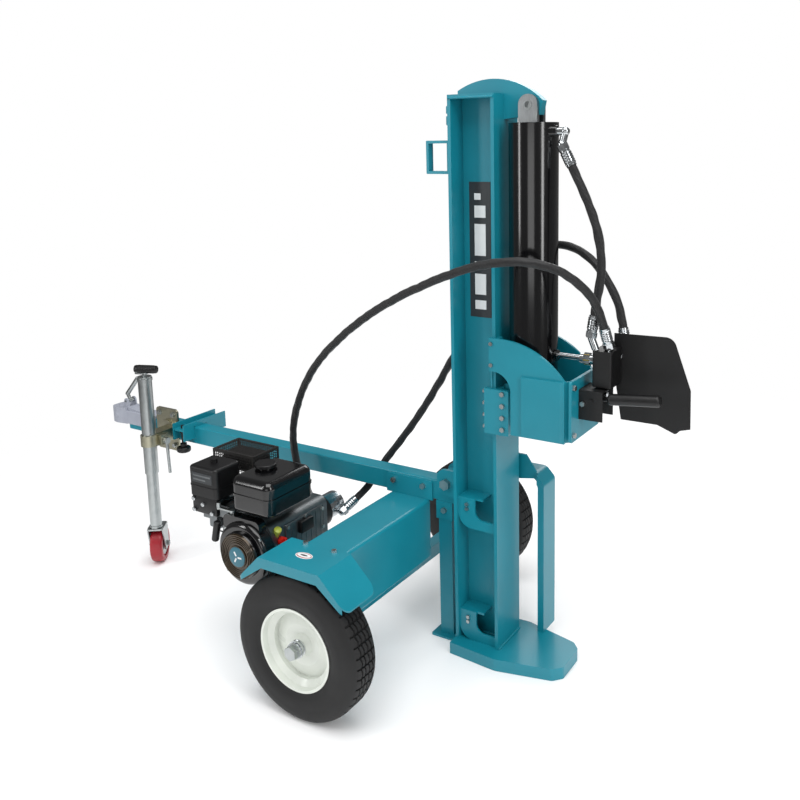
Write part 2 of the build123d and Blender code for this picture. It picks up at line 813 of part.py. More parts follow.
def make_cradle():
    """Open channel across the tongue that the beam's catch drops over."""
    half = tongue_width / 2
    low = cradle_low
    outer = block(cradle_x0, cradle_x1, cradle_near, cradle_far, low, cradle_high)
    w = cradle_wall
    trough = block(
        cradle_x0 + w, cradle_x1 - w, cradle_near - 1, cradle_far + 1, tongue_top + 1, cradle_high + 1
    )
    under = block(cradle_x0 + w, cradle_x1 - w, cradle_near - 1, cradle_far + 1, low - 1, tongue_top - w)
    window = block(cradle_x0 - 1, cradle_x1 + 1, -half, half, low - 1, tongue_top)
    pin_hole = rod_z(pin_x(), pin_y(), low - 1, cradle_high + 1, 12.2)
    return outer - trough - under - window - pin_hole


def pin_x():
    return (cradle_x0 + cradle_x1) / 2


def pin_y():
    return cradle_near + 20


def make_cradle_pin():
    """Spring plunger with its round pull knob."""
    stem = rod_z(pin_x(), pin_y(), 446, tongue_top + 12, 12)
    collar = rod_z(pin_x(), pin_y(), tongue_top - cradle_wall - 9, tongue_top - cradle_wall - 1, 20)
    knob = rod_z(pin_x(), pin_y(), 418, 438, 50)
    knob = fillet(knob.edges().filter_by(GeomType.CIRCLE), 7)
    neck = rod_z(pin_x(), pin_y(), 436, 450, 24)
    return stem + collar + knob + neck


# ---------------------------------------------------------------- tow coupling
def make_coupler_body():
    """Pressed coupling head with a ball socket, open below."""
    half = coupler_half
    channel = block(-1640, coupler_rear, -half, half, coupler_low, coupler_top + 4)
    channel = round_edges(channel, Axis.X, 4)
    nose_points = [(-1640, -half), (-1690, -38), (-1728, -30), (-1728, 30), (-1690, 38), (-1640, half)]
    nose = slab_xy(nose_points, coupler_low, coupler_dome - 6, [(1, 20), (2, 22), (3, 22), (4, 20)])
    neck = slab_xz(
        [(-1690, 500), (-1600, 500), (-1560, 515), (-1640, coupler_dome)], -24, 24, [(3, 12)]
    )
    dome = Pos(ball_x, 0, ball_z) * Sphere(39)
    body = channel + nose + neck + (dome - block(-1800, -1600, -60, 60, 400, coupler_low))
    for ear in coupler_ears():
        body += ear
    body -= Pos(ball_x, 0, ball_z) * Sphere(ball_socket_dia / 2)
    body -= rod_z(ball_x, 0, coupler_low - 20, ball_z, ball_socket_dia)
    grip = tongue_width / 2 + 0.3
    body -= block(tongue_front - 2, coupler_rear + 1, -grip, grip, 400, tongue_top + 0.3)
    return body


def make_coupler_handle():
    """Bent release handle on its cross pin, shown raised."""
    y = 0
    hub = (-1652, y, 548)
    ear = rod_y(-1652, 548, -14, 14, 16) + rod_y(-1652, 548, -24, 24, 8)
    riser = rod_between(hub, (-1664, y, 572), 13)
    arm = rod_between((-1664, y, 572), (-1600, y, 640), 17)
    knee = Pos(-1664, y, 572) * Sphere(8.5)
    tip = Pos(-1600, y, 640) * Sphere(8.5)
    return ear + riser + arm + knee + tip


def coupler_ears():
    ears = []
    for side in (-1, 1):
        a, b = sorted((side * 14.5, side * 19.5))
        ear = slab_xz([(-1670, 505), (-1634, 505), (-1642, 558), (-1662, 558)], a, b, [(2, 8), (3, 8)])
        ears.append(ear - rod_y(-1652, 548, -30, 30, 8.1))
    return ears


# ---------------------------------------------------------------- jockey wheel
def make_jockey_bracket():
    """Mounting plate on the tongue, arm and split clamp around the tube."""
    face = -tongue_width / 2
    plate = slab_xz(
        [(-1464, 402), (-1352, 402), (-1352, 560), (-1464, 560)], face - 8, face,
        [(0, 10), (1, 10), (2, 14), (3, 14)],
    )
    arm_in = face - 8
    r = jockey_outer / 2 + 0.2
    boss = rod_z(jockey_x, jockey_y, 456, 496, 2 * r + 12)
    arm = block(jockey_x - 24, jockey_x + 24, jockey_y + 12, arm_in + 1, 452, 500)
    lug = block(jockey_x + 14, jockey_x + 44, jockey_y + 14, jockey_y + 48, 458, 494)
    turntable = rod_y(-1402, 476, arm_in - 10, arm_in, 84)
    body = plate + boss + arm + lug + turntable
    return body - rod_z(jockey_x, jockey_y, 400, 560, 2 * r)


def make_jockey_tube():
    outer = rod_z(jockey_x, jockey_y, jockey_tube_low, jockey_tube_top, jockey_outer)
    bore = jockey_stem_dia + 2 * jockey_clear
    inner = rod_z(jockey_x, jockey_y, jockey_tube_low - 1, jockey_tube_top - 6, bore)
    spindle_hole = rod_z(jockey_x, jockey_y, jockey_tube_top - 10, jockey_tube_top + 1, 14.2)
    return outer - inner - spindle_hole


def make_jockey_stem():
    """Sliding inner tube with the swivel socket at its foot."""
    stem = rod_z(jockey_x, jockey_y, 150, 520, jockey_stem_dia)
    hollow = rod_z(jockey_x, jockey_y, 170, 504, jockey_stem_dia - 6)
    nut = rod_z(jockey_x, jockey_y, 503, 521, 14.2)
    swivel = rod_z(jockey_x, jockey_y, 144, 151, jockey_stem_dia + 5)
    socket = rod_z(jockey_x, jockey_y, 143, 171, 14.1)
    return stem + swivel - hollow - nut - socket


def fork_place():
    """Turned frame of the caster: local X is along the wheel's axle."""
    return Pos(jockey_x, jockey_y, 0) * Rot(0, 0, jockey_turn)


def make_jockey_fork():
    place = fork_place()
    gap = jockey_wheel_width / 2 + 2.5
    r = jockey_wheel_radius
    crown = block(-gap - 4, gap + 4, -26, jockey_trail + 18, 137, 143)
    crown = round_edges(crown, Axis.Z, 10)
    legs = []
    for side in (-1, 1):
        a, b = sorted((side * gap, side * (gap + 4)))
        outline = [(-24, 140), (jockey_trail + 16, 140), (jockey_trail + 20, 52), (jockey_trail - 22, 48)]
        legs.append(slab_yz(outline, a, b))
    axle = Pos(0, jockey_trail, r) * Rot(0, 90, 0) * Cylinder(5.95, 2 * gap + 20)
    king = rod_z(0, 0, 137, 162, 14)
    return place * (crown + legs[0] + legs[1] + axle + king)


def make_jockey_wheel():
    place = fork_place()
    half = jockey_wheel_width / 2
    ring = Cylinder(jockey_wheel_radius, 2 * half)
    ring = fillet(ring.edges().filter_by(GeomType.CIRCLE), 9)
    hub = Cylinder(22, 2 * half + 3)
    dish = Cylinder(46, 2 * half + 1) - Cylinder(46.5, 2 * half - 12)
    body = ring - dish + hub - Cylinder(6, 2 * half + 10)
    return place * (Pos(0, jockey_trail, jockey_wheel_radius) * Rot(0, 90, 0) * body)


def make_jockey_crank():
    """Lead screw, crank plate and folded black grip."""
    place = Pos(jockey_x, jockey_y, 0) * Rot(0, 0, jockey_crank_turn)
    top = jockey_tube_top
    screw = rod_z(0, 0, 380, top + 16, 14)
    plate = block(-34, 14, -12, 12, top + 9, top + 15)
    plate = round_edges(plate, Axis.Z, 10)
    ear = block(-28, -20, -11, 11, top + 9, top + 26)
    grip = rod_x(0, top + 26, -34, 50, 27)
    grip = fillet(grip.edges().filter_by(GeomType.CIRCLE), 6)
    return place * (screw + plate + ear + grip)


def make_jockey_clamp_lever():
    """Hanging handle of the clamp screw."""
    x = jockey_x + 44
    z = 473
    hub = rod_x(jockey_y + 31, z, x + 0.5, x + 18, 22)
    bar = rod_between((x + 10, jockey_y + 31, z), (x + 16, jockey_y + 31, 352), 11)
    return hub + bar


# ---------------------------------------------------------------- road wheels
def revolve_y(points):
    """Ring from a half section given as (radius, y) points, turned about the Y axis."""
    outline = make_face(Polyline(*points, close=True))
    return revolve(Plane.XY * outline, Axis.Y)


def make_tyre(y):
    half = tyre_width / 2
    r = tyre_radius
    bead = rim_radius
    section = [
        (bead, -half + 14), (bead + 14, -half + 4), (bead + 50, -half), (r - 22, -half + 3),
        (r - 8, -half + 14), (r, -half + 32), (r, half - 32), (r - 8, half - 14),
        (r - 22, half - 3), (bead + 50, half), (bead + 14, half - 4), (bead, half - 14),
        (bead, half - 26), (bead + 18, half - 18), (bead + 52, half - 12), (r - 20, half - 18),
        (r - 14, half - 34), (r - 14, -half + 34), (r - 20, -half + 18), (bead + 52, -half + 12),
        (bead + 18, -half + 18), (bead, -half + 26),
    ]
    return Pos(axle_x, y, axle_z) * revolve_y(section)


def make_rim(y, side):
    """Dished steel disc and rim, with the hub tube; side is the outer face's direction."""
    half = tyre_width / 2 - 12
    t = rim_sheet
    r = rim_radius
    well = 92
    section = [
        (r, -half - 4), (r, -half + 12), (well + 4, -half + 22), (well + 4, half - 22),
        (r, half - 12), (r, half + 4), (r + 3, half + 6), (r - t, half + 6), (r - t - 2, half - 10),
        (well, half - 20), (well, 6), (58, 14), (hub_outer / 2 + 12, 10), (hub_outer / 2, 24),
        (hub_outer / 2, hub_half), (spindle_dia / 2 + spindle_clear, hub_half),
        (spindle_dia / 2 + spindle_clear, -hub_half), (hub_outer / 2, -hub_half),
        (hub_outer / 2, 4), (hub_outer / 2 + 12, 10 - t), (58, 14 - t), (well, 6 - t),
        (well, -half + 20), (r - t - 2, -half + 10), (r - t, -half - 6), (r + 3, -half - 6),
    ]
    ring = revolve_y(section)
    if side < 0:
        ring = Rot(180, 0, 0) * ring
    return Pos(axle_x, y, axle_z) * ring


# ---------------------------------------------------------------- engine and pump
def make_engine_block():
    """Crankcase with the leaning cylinder and its bearing for the crankshaft."""
    case = block(crank_x - 76, crank_x + 78, recoil_y1, pto_y, engine_floor + 10, crank_z + 86)
    case = round_edges(case, Axis.Y, 26)
    feet = block(crank_x - 94, crank_x + 98, -392, -200, engine_floor, engine_floor + 12)
    barrel = round_edges(leaning_cylinder(0), Axis.Y, 8)
    boss = rod_y(crank_x, crank_z, pto_y - 10, pto_y, 74)
    hollow = rod_y(crank_x, crank_z, -300, -190, 110)
    bore = rod_y(crank_x, crank_z, -310, pto_y + 1, shaft_dia + 2 * shaft_clear)
    return case + feet + barrel + boss - hollow - bore


def make_recoil_housing():
    body = rod_y(crank_x, crank_z, recoil_y0, recoil_y1, 2 * recoil_radius)
    body = fillet(body.edges().sort_by(Axis.Y)[0], 14)
    shroud = block(crank_x - 80, crank_x + 60, recoil_y0 + 14, recoil_y1, crank_z, crank_z + 104)
    shroud = round_edges(shroud, Axis.Y, 16)
    cup = rod_y(crank_x, crank_z, recoil_y0 - recoil_cup_depth, recoil_y0 + 1, 2 * recoil_cup_radius)
    cup = fillet(cup.edges().sort_by(Axis.Y)[0], 9)
    hollow = rod_y(crank_x, crank_z, recoil_y0 + 6, recoil_y1 + 1, 2 * recoil_radius - 12)
    slot = rod_x(rope_y(), rope_z(), crank_x - recoil_radius - 5, crank_x, 8)
    return body + shroud + cup - hollow - slot


def rope_y():
    return recoil_y0 + 20


def rope_z():
    return crank_z + 42


def make_recoil_grip():
    x = crank_x - recoil_radius - 22
    head = (x + 6, rope_y(), rope_z() + 28)
    foot = (x - 9, rope_y(), rope_z() - 36)
    grip = rod_between(head, foot, 22)
    grip = fillet(grip.edges().filter_by(GeomType.CIRCLE), 6)
    rope = rod_x(rope_y(), rope_z(), x, crank_x - 8, 4)
    return grip + rope


def make_fuel_tank():
    tank = block(crank_x - 54, crank_x + 100, -432, -238, crank_z + 118, crank_z + 222)
    tank = fillet(tank.edges().filter_by(Axis.Z), 26)
    tank = fillet(tank.faces().sort_by(Axis.Z)[-1].edges(), 22)
    tank = fillet(tank.faces().sort_by(Axis.Z)[0].edges(), 12)
    neck = rod_z(crank_x - 4, -330, crank_z + 221, crank_z + 228, 44)
    return tank + neck


def make_fuel_cap():
    cap = rod_z(crank_x - 4, -330, crank_z + 228.5, crank_z + 238, 66)
    return fillet(cap.edges().sort_by(Axis.Z)[-1], 4)


def make_air_filter():
    case = block(crank_x - 222, crank_x - 108, -432, -328, crank_z + 134, crank_z + 226)
    case = fillet(case.edges().filter_by(Axis.Z), 14)
    case = fillet(case.faces().sort_by(Axis.Z)[-1].edges(), 10)
    elbow = block(crank_x - 210, crank_x - 146, -404, -350, crank_z + 110, crank_z + 135)
    knob = rod_z(crank_x - 165, -380, crank_z + 225, crank_z + 238, 22)
    return case + elbow + knob


def make_carburettor():
    low = crank_z + 52
    body = block(crank_x - 208, crank_x - 148, -400, -340, low, crank_z + 110)
    body = round_edges(body, Axis.Z, 6)
    bowl = rod_z(crank_x - 176, -372, low - 28, low + 1, 46)
    flange = block(crank_x - 149, crank_x - 106, -392, -352, low + 10, low + 48)
    return body + bowl + flange - leaning_cylinder(1)


def leaning_cylinder(margin):
    """Block of the engine's leaning cylinder, grown by a margin over its three sizes."""
    place = Pos(crank_x - 118, -285, crank_z + 36) * Rot(0, 25, 0)
    return place * Box(124 + margin, 150 + margin, 98 + margin)


def make_muffler():
    """Silencer box, its heat guard and the pipe down to the cylinder."""
    low = crank_z + 150
    x0 = crank_x - 254
    x1 = crank_x - 82
    box = block(x0 + 18, x1 - 18, -286, -204, low + 12, low + 68)
    box = round_edges(box, Axis.X, 18)
    pipe = rod_z(crank_x - 170, -226, low - 78, low + 13, 26)
    flange = rod_z(crank_x - 170, -226, low - 40, low - 34, 44)
    guard = round_edges(block(x0, x1, -302, -190, low, low + 80), Axis.Z, 10)
    cavity = block(x0 + 2, x1 - 2, -300, -192, low - 1, low + 78)
    shell = guard - cavity
    for x in (x0 + 24, x1 - 40):
        shell += block(x, x + 16, -301, -191, low, low + 4)
        shell += block(x, x + 16, -258, -232, low, low + 12)
    return Compound([box + pipe + flange - leaning_cylinder(1), shell])


def make_bell_housing():
    y1 = pto_y + bell_length
    drum = rod_y(crank_x, crank_z, pto_y, y1, 2 * bell_radius)
    hollow = rod_y(crank_x, crank_z, pto_y - 1, y1 - 8, 2 * bell_radius - 14)
    hole = rod_y(crank_x, crank_z, pto_y, y1 + 1, shaft_dia + 8)
    window = block(crank_x - 22, crank_x + 22, pto_y + 14, y1 - 18, crank_z, crank_z + 60)
    return drum - hollow - hole - window


def make_pump():
    """Gear pump with its two ports and the hose ferrules screwed into them."""
    y0 = pto_y + bell_length
    y1 = y0 + pump_length
    body = rod_y(crank_x, crank_z, y0, y1, 2 * pump_radius)
    body = fillet(body.edges().sort_by(Axis.Y)[-1], 8)
    body -= rod_y(crank_x, crank_z, y0 - 1, y0 + 45, shaft_dia + 2 * shaft_clear)
    low_p, end_p = ferrule(route_pressure, False)
    low_r, end_r = ferrule(route_return, False)
    port_p = rod_between(tuple(end_p), (crank_x - 30, -76, crank_z - 4), 20)
    port_r = rod_between(tuple(end_r), (crank_x + 30, -46, crank_z - 14), 20)
    knee_p = Pos(*end_p) * Sphere(12)
    knee_r = Pos(*end_r) * Sphere(12)
    bore = rod_y(crank_x, crank_z, y0 - 1, y0 + 45, shaft_dia + 2 * shaft_clear)
    return (body + port_p + low_p + knee_p + port_r + low_r + knee_r) - bore


def make_crankshaft():
    """Crankshaft, jaw coupling and pump shaft, which turn as one."""
    shaft = rod_y(crank_x, crank_z, -306, pto_y + bell_length + 40, shaft_dia)
    coupling = rod_y(crank_x, crank_z, pto_y + 6, pto_y + bell_length - 14, 54)
    web = rod_y(crank_x, crank_z, -270, -220, 96) - block(
        crank_x + 12, crank_x + 60, -271, -219, crank_z - 60, crank_z + 60
    )
    return shaft + coupling + web


def make_engine_switch():
    """Rotary stop switch on the crankcase."""
    x = crank_x + 78
    knob = rod_x(-372, crank_z + 28, x + 1, x + 14, 26)
    bar = block(x + 13, x + 22, -376, -368, crank_z + 16, crank_z + 40)
    return knob + bar


def make_throttle_lever():
    """Throttle arm that swings on top of the cooling shroud."""
    base = crank_z + 104.5
    hub = rod_z(-686, -424, base, base + 10, 16)
    arm = block(-742, -686, -429, -419, base + 3, base + 8)
    knob = rod_z(-740, -424, base + 2, base + 22, 13)
    return hub + arm + knob


# ---------------------------------------------------------------- fasteners on the mast
def make_mast_bolts():
    pieces = []
    for side in (-1, 1):
        for z in (908, 968):
            pieces.append(head_at((-1, side * (strip_inner_half + strip_plate), z), (0, side, 0), 12, 5))
        y = side * (beam_width / 2 - bracket_inset)
        for low in bracket_lows:
            for dz in (74, 60):
                pieces.append(head_at((-104, y, low + dz), (0, side, 0), 12, 6))
        for z in (742, 872):
            face = strip_front + front_plate_thick
            pieces.append(head_at((face, side * 84, z), (1, 0, 0), 16, 7))
    pieces.append(head_at((252, bracket_y0, 822), (0, -1, 0), 15, 6))
    return Compound(pieces)


PARTS = {
    "beam": make_beam,
    "foot_plate": make_foot_plate,
    "fence": make_fence,
    "lift_handle": make_lift_handle,
    "side_brackets": make_side_brackets,
    "stripper_cage": make_stripper_cage,
    "stripper_front": make_stripper_front,
    "mast_bolts": make_mast_bolts,
    "cylinder_barrel": make_cylinder_barrel,
    "cylinder_head": make_cylinder_head,
    "cylinder_gland": make_cylinder_gland,
    "clevis_pin": make_clevis_pin,
    "piston_rod": make_piston_rod,
    "wedge": make_wedge,
    "wedge_carriage": make_wedge_carriage,
    "carriage_bolts": make_carriage_bolts,
    "valve_body": make_valve_body,
    "mast_fittings": make_mast_fittings,
    "lever_bracket": make_lever_bracket,
    "valve_lever": make_valve_lever,
    "guard_plate": make_guard_plate,
    "tongue": make_tongue,
    "tongue_end": make_tongue_end,
    "support_leg": make_support_leg,
    "hydraulic_tank": make_hydraulic_tank,
    "tank_brackets": make_tank_brackets,
    "axle": make_axle,
    "fender": make_fender,
    "frame_bolts": make_frame_bolts,
    "cradle": make_cradle,
    "cradle_pin": make_cradle_pin,
    "coupler_body": make_coupler_body,
    "coupler_handle": make_coupler_handle,
    "jockey_bracket": make_jockey_bracket,
    "jockey_tube": make_jockey_tube,
    "jockey_stem": make_jockey_stem,
    "jockey_fork": make_jockey_fork,
    "jockey_wheel": make_jockey_wheel,
    "jockey_crank": make_jockey_crank,
    "jockey_clamp_lever": make_jockey_clamp_lever,
    "engine_block": make_engine_block,
    "recoil_housing": make_recoil_housing,
    "recoil_grip": make_recoil_grip,
    "fuel_tank": make_fuel_tank,
    "fuel_cap": make_fuel_cap,
    "air_filter": make_air_filter,
    "carburettor": make_carburettor,
    "muffler": make_muffler,
    "bell_housing": make_bell_housing,
    "pump": make_pump,
    "crankshaft": make_crankshaft,
    "engine_switch": make_engine_switch,
    "throttle_lever": make_throttle_lever,
    "hose_cylinder": lambda: hose(route_cylinder),
    "hose_pressure": lambda: hose(route_pressure),
    "hose_return": lambda: hose(route_return),
    "tyre_near": lambda: make_tyre(wheel_near_y),
    "rim_near": lambda: make_rim(wheel_near_y, -1),
    "tyre_far": lambda: make_tyre(wheel_far_y),
    "rim_far": lambda: make_rim(wheel_far_y, 1),
}

os.makedirs("parts", exist_ok=True)
for node, make in PARTS.items():
    export_step(make(), f"parts/{node}.step")
print(len(PARTS), "nodes written")
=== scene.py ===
import math
import random

import bmesh
import bpy
from mathutils import Matrix, Vector


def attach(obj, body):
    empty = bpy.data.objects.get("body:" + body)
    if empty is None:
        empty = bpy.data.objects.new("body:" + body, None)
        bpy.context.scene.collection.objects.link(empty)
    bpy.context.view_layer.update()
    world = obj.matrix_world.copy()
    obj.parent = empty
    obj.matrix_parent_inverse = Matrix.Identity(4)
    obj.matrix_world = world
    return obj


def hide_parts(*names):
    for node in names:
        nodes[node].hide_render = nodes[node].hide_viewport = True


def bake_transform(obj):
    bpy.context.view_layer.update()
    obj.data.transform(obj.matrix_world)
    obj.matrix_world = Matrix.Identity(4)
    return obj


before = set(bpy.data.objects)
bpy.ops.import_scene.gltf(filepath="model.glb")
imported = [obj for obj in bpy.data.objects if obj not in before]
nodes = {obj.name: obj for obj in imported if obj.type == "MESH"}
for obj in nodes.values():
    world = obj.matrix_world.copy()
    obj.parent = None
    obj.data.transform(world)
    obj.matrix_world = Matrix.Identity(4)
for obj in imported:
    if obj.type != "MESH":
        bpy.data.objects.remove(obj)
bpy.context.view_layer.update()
random.seed(11)
mm = 0.001
print("frame loaded")

# camera and room
camera = {
    "turn": 0.540, "dip": 0.173, "roll": -0.0153,
    "place": (1.1135, -2.1187, 1.5129), "lens": 38.9, "sensor": 36,
    "shift": (-0.0739, -0.1331), "reach": 60,
}
room = {
    "sky": "#FFFFFF", "seenStrength": 1.0, "skyStrength": 0.62, "mirroredStrength": 0.16,
    "floorSize": 60, "floorDrop": 0.0005,
    "lamps": [
        # name, place, aimed at, size, watts
        ("overhead softbox", (0.4, -1.0, 4.2), (-0.3, 0, 0.6), (3.4, 3.4), 120),
        ("right strip", (3.4, -1.4, 1.9), (0, 0, 0.9), (0.7, 2.8), 42),
        ("left strip", (-2.8, -3.2, 2.0), (-0.4, 0, 0.7), (0.6, 2.6), 36),
        ("front fill", (1.2, -4.6, 1.0), (-0.4, 0, 0.6), (2.4, 1.4), 18),
        ("rim light", (-0.8, 3.4, 3.0), (0, 0, 0.9), (2.4, 1.6), 44),
    ],
}


def toLinear(code):
    parts = [int(code[i:i + 2], 16) / 255 for i in (1, 3, 5)]
    return tuple(p / 12.92 if p <= 0.04045 else ((p + 0.055) / 1.055) ** 2.4 for p in parts) + (1,)


def addNode(tree, kind, settings=None, links=None):
    node = tree.nodes.new(kind)
    for name, value in (settings or {}).items():
        if isinstance(name, str) and hasattr(node, name):
            setattr(node, name, value)
        else:
            node.inputs[name].default_value = value
    for name, source in (links or {}).items():
        tree.links.new(source, node.inputs[name])
    return node


def makeCamera():
    a, e, roll = camera["turn"], camera["dip"], camera["roll"]
    right = Vector((math.cos(a), math.sin(a), 0))
    up = Vector((-math.sin(a) * math.sin(e), math.cos(a) * math.sin(e), math.cos(e)))
    back = Vector((math.sin(a) * math.cos(e), -math.cos(a) * math.cos(e), math.sin(e)))
    side = right * math.cos(roll) + up * math.sin(roll)
    top = up * math.cos(roll) - right * math.sin(roll)
    data = bpy.data.cameras.new("studio camera")
    data.lens = camera["lens"]
    data.sensor_width = camera["sensor"]
    data.shift_x, data.shift_y = camera["shift"]
    data.clip_end = camera["reach"]
    rig = bpy.data.objects.new("studio camera", data)
    turn = Matrix((side, top, back)).transposed().to_4x4()
    rig.matrix_world = Matrix.Translation(camera["place"]) @ turn
    bpy.context.scene.collection.objects.link(rig)
    bpy.context.scene.camera = rig


def makeRoom():
    scene = bpy.context.scene
    scene.view_settings.view_transform = "Standard"
    world = bpy.data.worlds.new("white studio")
    scene.world = world
    world.use_nodes = True
    backdrop = world.node_tree.nodes["Background"]
    backdrop.inputs["Color"].default_value = toLinear(room["sky"])
    seen = addNode(world.node_tree, "ShaderNodeLightPath")
    mirrored = addNode(
        world.node_tree, "ShaderNodeMapRange",
        {"To Min": room["skyStrength"], "To Max": room["mirroredStrength"]},
        {"Value": seen.outputs["Is Glossy Ray"]},
    )
    strength = addNode(
        world.node_tree, "ShaderNodeMapRange",
        {"To Max": room["seenStrength"]},
        {"Value": seen.outputs["Is Camera Ray"], "To Min": mirrored.outputs[0]},
    )
    world.node_tree.links.new(strength.outputs[0], backdrop.inputs["Strength"])
    for name, place, aim, size, watts in room["lamps"]:
        data = bpy.data.lights.new(name, "AREA")
        data.shape = "RECTANGLE"
        data.size, data.size_y = size
        data.energy = watts
        lamp = bpy.data.objects.new(name, data)
        lamp.location = place
        lamp.rotation_euler = (Vector(aim) - Vector(place)).to_track_quat("-Z", "Y").to_euler()
        scene.collection.objects.link(lamp)
    bpy.ops.mesh.primitive_plane_add(size=room["floorSize"], location=(0, 0, -room["floorDrop"]))
    floor = bpy.context.object
    floor.name = "studioFloor"
    floor.data.materials.append(finishes["studioPaper"])


# finishes: two tones a little apart, roughness range, bump height and grain size in millimetres
finishValues = {
    # powder-coated steel: even gloss with a fine orange peel, edges catch a soft line of light
    "tealPowderCoat": dict(
        dark="#0A7283", light="#0D8496", rough=(0.30, 0.42), grain=2.2, depth=0.10, coat=0.12, cloud=160,
    ),
    # stove enamel on drawn tube: deep black that mirrors the lamps as long streaks
    "blackEnamel": dict(
        dark="#060607", light="#0B0B0D", rough=(0.12, 0.20), grain=5, depth=0.05, coat=0.5, cloud=120,
    ),
    # textured black powder on bent sheet: dull, with a grain that breaks the highlight
    "blackTexturedPowder": dict(
        dark="#050506", light="#0B0B0C", rough=(0.5, 0.66), grain=1.6, depth=0.35, coat=0, cloud=70,
    ),
    # cast and painted valve body: half dull and slightly uneven
    "blackCastPaint": dict(
        dark="#060607", light="#0D0D0E", rough=(0.36, 0.52), grain=2.5, depth=0.5, coat=0.05, cloud=40,
    ),
    # cream wheel enamel on pressed steel: smooth and bright
    "creamEnamel": dict(
        dark="#C9CEC6", light="#DEE2DA", rough=(0.24, 0.34), grain=4, depth=0.08, coat=0.25, cloud=90,
    ),
    # moulded nylon, fine spark-eroded texture: soft grey sheen on black
    "blackNylon": dict(
        dark="#070708", light="#0E0E10", rough=(0.34, 0.48), grain=1.2, depth=0.22, coat=0, cloud=35,
    ),
    # glossy moulded ABS: saturated red with a clean soft highlight
    "redSwitchPlastic": dict(
        dark="#B9160F", light="#D3241A", rough=(0.25, 0.34), grain=3, depth=0.05, coat=0.1, cloud=20,
    ),
    # cast polyurethane wheel: saturated and slightly waxy
    "redPolyurethane": dict(
        dark="#8A1420", light="#A41C29", rough=(0.30, 0.42), grain=3, depth=0.12, coat=0.05, cloud=24,
    ),
    # vulcanised tyre rubber with mould bloom: dark grey, never shiny
    "tyreRubber": dict(
        dark="#09090A", light="#111112", rough=(0.56, 0.74), grain=1.5, depth=0.4, coat=0, cloud=60,
    ),
    # bright zinc plate: cool grey with faint clouds, half brushed
    "zincPlate": dict(
        dark="#9EA4A5", light="#C3C7C6", rough=(0.24, 0.40), grain=1.6, depth=0.12, coat=0, cloud=22, metal=1,
    ),
    # yellow passivated zinc: straw tint with greenish clouds
    "yellowZinc": dict(
        dark="#A3A08C", light="#C6C3AC", rough=(0.26, 0.42), grain=1.6, depth=0.12, coat=0, cloud=18, metal=1,
    ),
    # yellow chromate on a hydraulic adapter: stronger straw gold
    "chromateGold": dict(
        dark="#A58A3B", light="#CDB35C", rough=(0.25, 0.36), grain=2, depth=0.08, coat=0, cloud=9, metal=1,
    ),
    # crimped and plated hydraulic steel: bright, with a tight broken highlight
    "brightFitting": dict(
        dark="#AEB3B6", light="#D5D8DA", rough=(0.14, 0.26), grain=2, depth=0.06, coat=0, cloud=10, metal=1,
    ),
    # milled steel: tool marks pull the highlight into short lines
    "milledSteel": dict(
        dark="#8B8E90", light="#B4B7B8", rough=(0.26, 0.42), grain=1.8, depth=0.18, coat=0, cloud=16, metal=1,
        stretch=(8, 1, 1),
    ),
    # hard chrome on the ground rod: mirror with the faintest bands
    "hardChrome": dict(
        dark="#C4C8CB", light="#DDE0E2", rough=(0.07, 0.12), grain=2, depth=0.02, coat=0, cloud=30, metal=1,
    ),
    # sand-cast aluminium, blasted: pale, grainy, broken highlight
    "castAluminium": dict(
        dark="#6C7072", light="#969A9C", rough=(0.34, 0.5), grain=1.8, depth=0.55, coat=0, cloud=25, metal=1,
    ),
    # painted coupling head: lilac grey with a low even gloss
    "greyCouplerPaint": dict(
        dark="#8E929E", light="#A6AAB5", rough=(0.30, 0.42), grain=3, depth=0.12, coat=0.1, cloud=40,
    ),
    # bronze-black lacquer over the recoil cover's rings: picks up warm light
    "bronzeLacquer": dict(
        dark="#17120C", light="#4A3B26", rough=(0.12, 0.2), grain=3, depth=0.08, coat=0.4, cloud=30,
        metal=0.6,
    ),
    # printed vinyl labels: flat even tones with a quiet satin sheen
    "labelGrey": dict(
        dark="#2B2E31", light="#33373A", rough=(0.34, 0.44), grain=3, depth=0.03, coat=0.1, cloud=60,
    ),
    "labelWhite": dict(
        dark="#D5D8D9", light="#E4E6E6", rough=(0.34, 0.44), grain=3, depth=0.03, coat=0.1, cloud=30,
    ),
    "labelBlue": dict(
        dark="#0F5A6C", light="#176B7E", rough=(0.28, 0.38), grain=3, depth=0.03, coat=0.2, cloud=20,
    ),
    "labelRed": dict(
        dark="#A3281F", light="#B5332A", rough=(0.34, 0.44), grain=3, depth=0.03, coat=0.1, cloud=20,
    ),
    # heat-proof black on the exhaust guard: matt with a little rust-brown cloud
    "exhaustBlack": dict(
        dark="#111010", light="#1C1917", rough=(0.6, 0.78), grain=2, depth=0.25, coat=0, cloud=30,
    ),
    # yellow-green moulded oil cap: small soft glint
    "limePlastic": dict(
        dark="#9AA43A", light="#B3BD4B", rough=(0.3, 0.4), grain=2, depth=0.05, coat=0.1, cloud=12,
    ),
    # seamless paper: near white and matt, only carries the shadow
    "studioPaper": dict(
        dark="#FCFCFD", light="#FFFFFF", rough=(0.8, 0.9), grain=8, depth=0.0, coat=0, cloud=900,
    ),
}

# what every finish shares: noise detail, bump strength and the clear coat's own gloss
shared = {"cloudDetail": 4.0, "grainDetail": 2.0, "bump": 0.5, "coatRough": 0.12}


